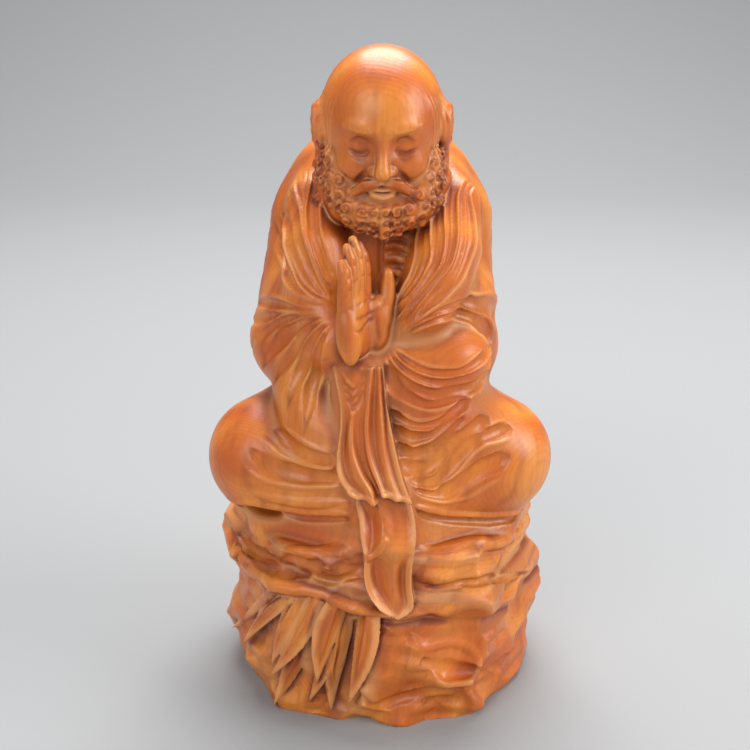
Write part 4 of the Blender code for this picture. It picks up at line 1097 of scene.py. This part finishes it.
def oiled_cypress():
    """Cypress root: fine growth rings round a tilted pith, fibres, red patches,
    painted shade darkening the creases and hollows, a painted highlight with some edge
    wear lightening the ridges, and a satin gloss."""
    material = bpy.data.materials.new("oiled_cypress")
    material.use_nodes = True
    tree = material.node_tree
    shader = tree.nodes["Principled BSDF"]

    def add(kind, inputs=(), **settings):
        node = tree.nodes.new("ShaderNode" + kind)
        for name, value in settings.items():
            setattr(node, name, value)
        for socket, value in dict(inputs).items():
            if isinstance(value, bpy.types.NodeSocket):
                tree.links.new(value, node.inputs[socket])
            else:
                node.inputs[socket].default_value = value
        return node

    def ramp(value, *stops):
        node = add("ValToRGB", {"Fac": value})
        while len(node.color_ramp.elements) < len(stops):
            node.color_ramp.elements.new(0.5)
        for element, (place, colour) in zip(node.color_ramp.elements, stops):
            element.position = place
            element.color = srgb(colour)
        return node.outputs["Color"]

    def mix(factor, a, b):
        # Inputs 6 and 7 and output 2 are the node's colours
        return add("Mix", {"Factor": factor, 6: a, 7: b}, data_type="RGBA").outputs[2]

    def spread(value, low, high, new_low=0.0, new_high=1.0):
        return add("MapRange", {"Value": value, "From Min": low, "From Max": high,
                                "To Min": new_low, "To Max": new_high}).outputs["Result"]

    def noise(vector, scale, detail=2.0, rough=0.5):
        return add("TexNoise", {"Vector": vector, "Scale": scale, "Detail": detail, "Roughness": rough})

    place = add("TexCoord").outputs["Object"]
    # The pith leans, and the rings wander by up to 7 mm over 60 mm
    wander = noise(place, 17.0, 2.0)
    wandered = add("VectorMath", {0: wander.outputs["Color"], 1: (0.014, 0.014, 0.006), 2: place},
                   operation="MULTIPLY_ADD").outputs["Vector"]
    round_pith = add("Mapping", {"Vector": wandered, "Location": (0.012, -0.030, 0.0),
                                 "Rotation": (radians(7), radians(-9), 0.0)}).outputs["Vector"]
    rings = add("TexWave", {"Vector": round_pith, "Scale": 380.0, "Distortion": 2.6, "Detail": 3.0,
                            "Detail Scale": 0.6, "Detail Roughness": 0.6},
                wave_type="RINGS", rings_direction="Z", wave_profile="SIN").outputs["Fac"]
    years = add("TexWave", {"Vector": round_pith, "Scale": 34.0, "Distortion": 2.5, "Detail": 2.0,
                            "Detail Scale": 0.5}, wave_type="RINGS", rings_direction="Z").outputs["Fac"]
    long_fibres = add("Mapping", {"Vector": round_pith, "Scale": (1.0, 1.0, 0.06)}).outputs["Vector"]
    fibres = noise(long_fibres, 900.0, 3.0, 0.6).outputs["Fac"]
    patches = noise(place, 32.0, 3.0, 0.55).outputs["Fac"]

    streaks = noise(long_fibres, 210.0, 2.0, 0.5).outputs["Fac"]
    hollow, wide, ridge = (add("Attribute", attribute_name=name).outputs["Fac"]
                           for name in ("hollow", "wide_hollow", "ridge"))
    # Each colour covers the last one, up to its share, as its value goes from low to high:
    # red and light patches, rings, fibres, streaks, painted shade in creases and hollows, and a
    # painted highlight with some edge wear on the ridges
    colour = ramp(years, (0.0, "E08832"), (0.5, "D77827"), (1.0, "CA6820"))
    for value, low, high, share, tint in (
            (patches, 0.50, 0.70, 0.6, "BE4C14"), (patches, 0.46, 0.30, 0.5, "E49C50"),
            (rings, 0.55, 0.95, 0.12, "984412"), (fibres, 0.45, 0.75, 0.22, "A44C16"),
            # The last three colours are painted light: painted shade in the creases (hollow) and the wider
            # hollows (wide_hollow), and a painted highlight with some edge wear on the ridges (ridge)
            (streaks, 0.52, 0.74, 0.42, "8E3A0C"), (hollow, 0.05, 0.50, 0.92, "7A2C08"),
            (wide, 0.20, 0.85, 0.65, "7C340E"), (ridge, 0.12, 0.6, 0.5, "F2B070")):
        colour = mix(spread(value, low, high, 0.0, share), colour, srgb(tint))
    tree.links.new(colour, shader.inputs["Base Color"])
    rough = spread(add("Math", {0: fibres, 1: hollow}, operation="ADD").outputs[0], 0.3, 1.2, 0.33, 0.58)
    tree.links.new(rough, shader.inputs["Roughness"])
    shader.inputs["Coat Weight"].default_value = 0.15
    shader.inputs["Coat Roughness"].default_value = 0.30
    shader.inputs["Specular IOR Level"].default_value = 0.5
    grain = add("Math", {0: rings, 1: 0.35, 2: fibres}, operation="MULTIPLY_ADD").outputs[0]
    bump = add("Bump", {"Height": grain, "Strength": 0.35, "Distance": 0.00012})
    tree.links.new(bump.outputs["Normal"], shader.inputs["Normal"])
    return material


statue.data.materials.append(oiled_cypress())
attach(statue, "root")
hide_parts("carved_statue")

# The stage: a pale plain floor, a wide soft light above and behind, and gentle fill
FLOOR_FRONT, FLOOR_BACK, FLOOR_SIDE, FLOOR_TOP = -1.5, 0.7, 3.0, 2.5
FLOOR_CURVE = 0.6
# The camera looks down on the front, from a place in metres from the uncentred rock
CAMERA_PLACE = (-0.0020, -0.3827, 0.2380)
CAMERA_PITCH = 20
CAMERA_LENS = 62.77

floor_mesh = bpy.data.meshes.new("floor")
sweep = [(FLOOR_FRONT, 0.0), (FLOOR_BACK, 0.0)]
sweep += [(FLOOR_BACK + FLOOR_CURVE * sin(radians(a)), FLOOR_CURVE - FLOOR_CURVE * cos(radians(a)))
          for a in range(5, 91, 5)]
sweep += [(FLOOR_BACK + FLOOR_CURVE, FLOOR_TOP)]
floor_points = [(x, y, z) for y, z in sweep for x in (-FLOOR_SIDE, FLOOR_SIDE)]
floor_faces = [(2 * i, 2 * i + 1, 2 * i + 3, 2 * i + 2) for i in range(len(sweep) - 1)]
floor_mesh.from_pydata(floor_points, [], floor_faces)
floor_mesh.shade_smooth()
floor = bpy.data.objects.new("floor", floor_mesh)
bpy.context.scene.collection.objects.link(floor)
paper = bpy.data.materials.new("pale_grey_paper")
paper.use_nodes = True
paper.node_tree.nodes["Principled BSDF"].inputs["Base Color"].default_value = srgb("989A9C")
paper.node_tree.nodes["Principled BSDF"].inputs["Roughness"].default_value = 0.9
floor_mesh.materials.append(paper)

world = bpy.data.worlds.new("soft_sky")
bpy.context.scene.world = world
world.use_nodes = True
world.node_tree.nodes["Background"].inputs["Color"].default_value = (0.90, 0.95, 1.0, 1.0)
world.node_tree.nodes["Background"].inputs["Strength"].default_value = 0.44


def soft_light(name, place, target, size, power, colour):
    """A square lamp that faces a point."""
    data = bpy.data.lights.new(name, "AREA")
    data.size = size
    data.energy = power
    data.color = colour
    lamp = bpy.data.objects.new(name, data)
    bpy.context.scene.collection.objects.link(lamp)
    lamp.location = place
    way = mathutils.Vector(target) - mathutils.Vector(place)
    lamp.rotation_euler = way.to_track_quat("-Z", "Y").to_euler()


soft_light("sky_light", (0.05, 0.40, 0.95), (0, 0, 0.12), 0.8, 17.5, (1.0, 0.98, 0.96))
soft_light("front_fill", (-0.45, -0.85, 0.60), (0, 0, 0.10), 0.7, 5.5, (1.0, 0.96, 0.92))
soft_light("right_fill", (0.80, -0.25, 0.45), (0, 0, 0.10), 0.5, 5.5, (1.0, 0.97, 0.94))

camera_data = bpy.data.cameras.new("camera")
camera_data.lens = CAMERA_LENS
camera_data.sensor_width = 36.0
camera_data.clip_start = 0.01
camera = bpy.data.objects.new("camera", camera_data)
bpy.context.scene.collection.objects.link(camera)
camera.location = (CAMERA_PLACE[0] - middle[0], CAMERA_PLACE[1] - middle[1], CAMERA_PLACE[2])
camera.rotation_euler = (radians(90 - CAMERA_PITCH), 0.0, 0.0)
bpy.context.scene.camera = camera
bpy.context.scene.view_settings.view_transform = "Standard"
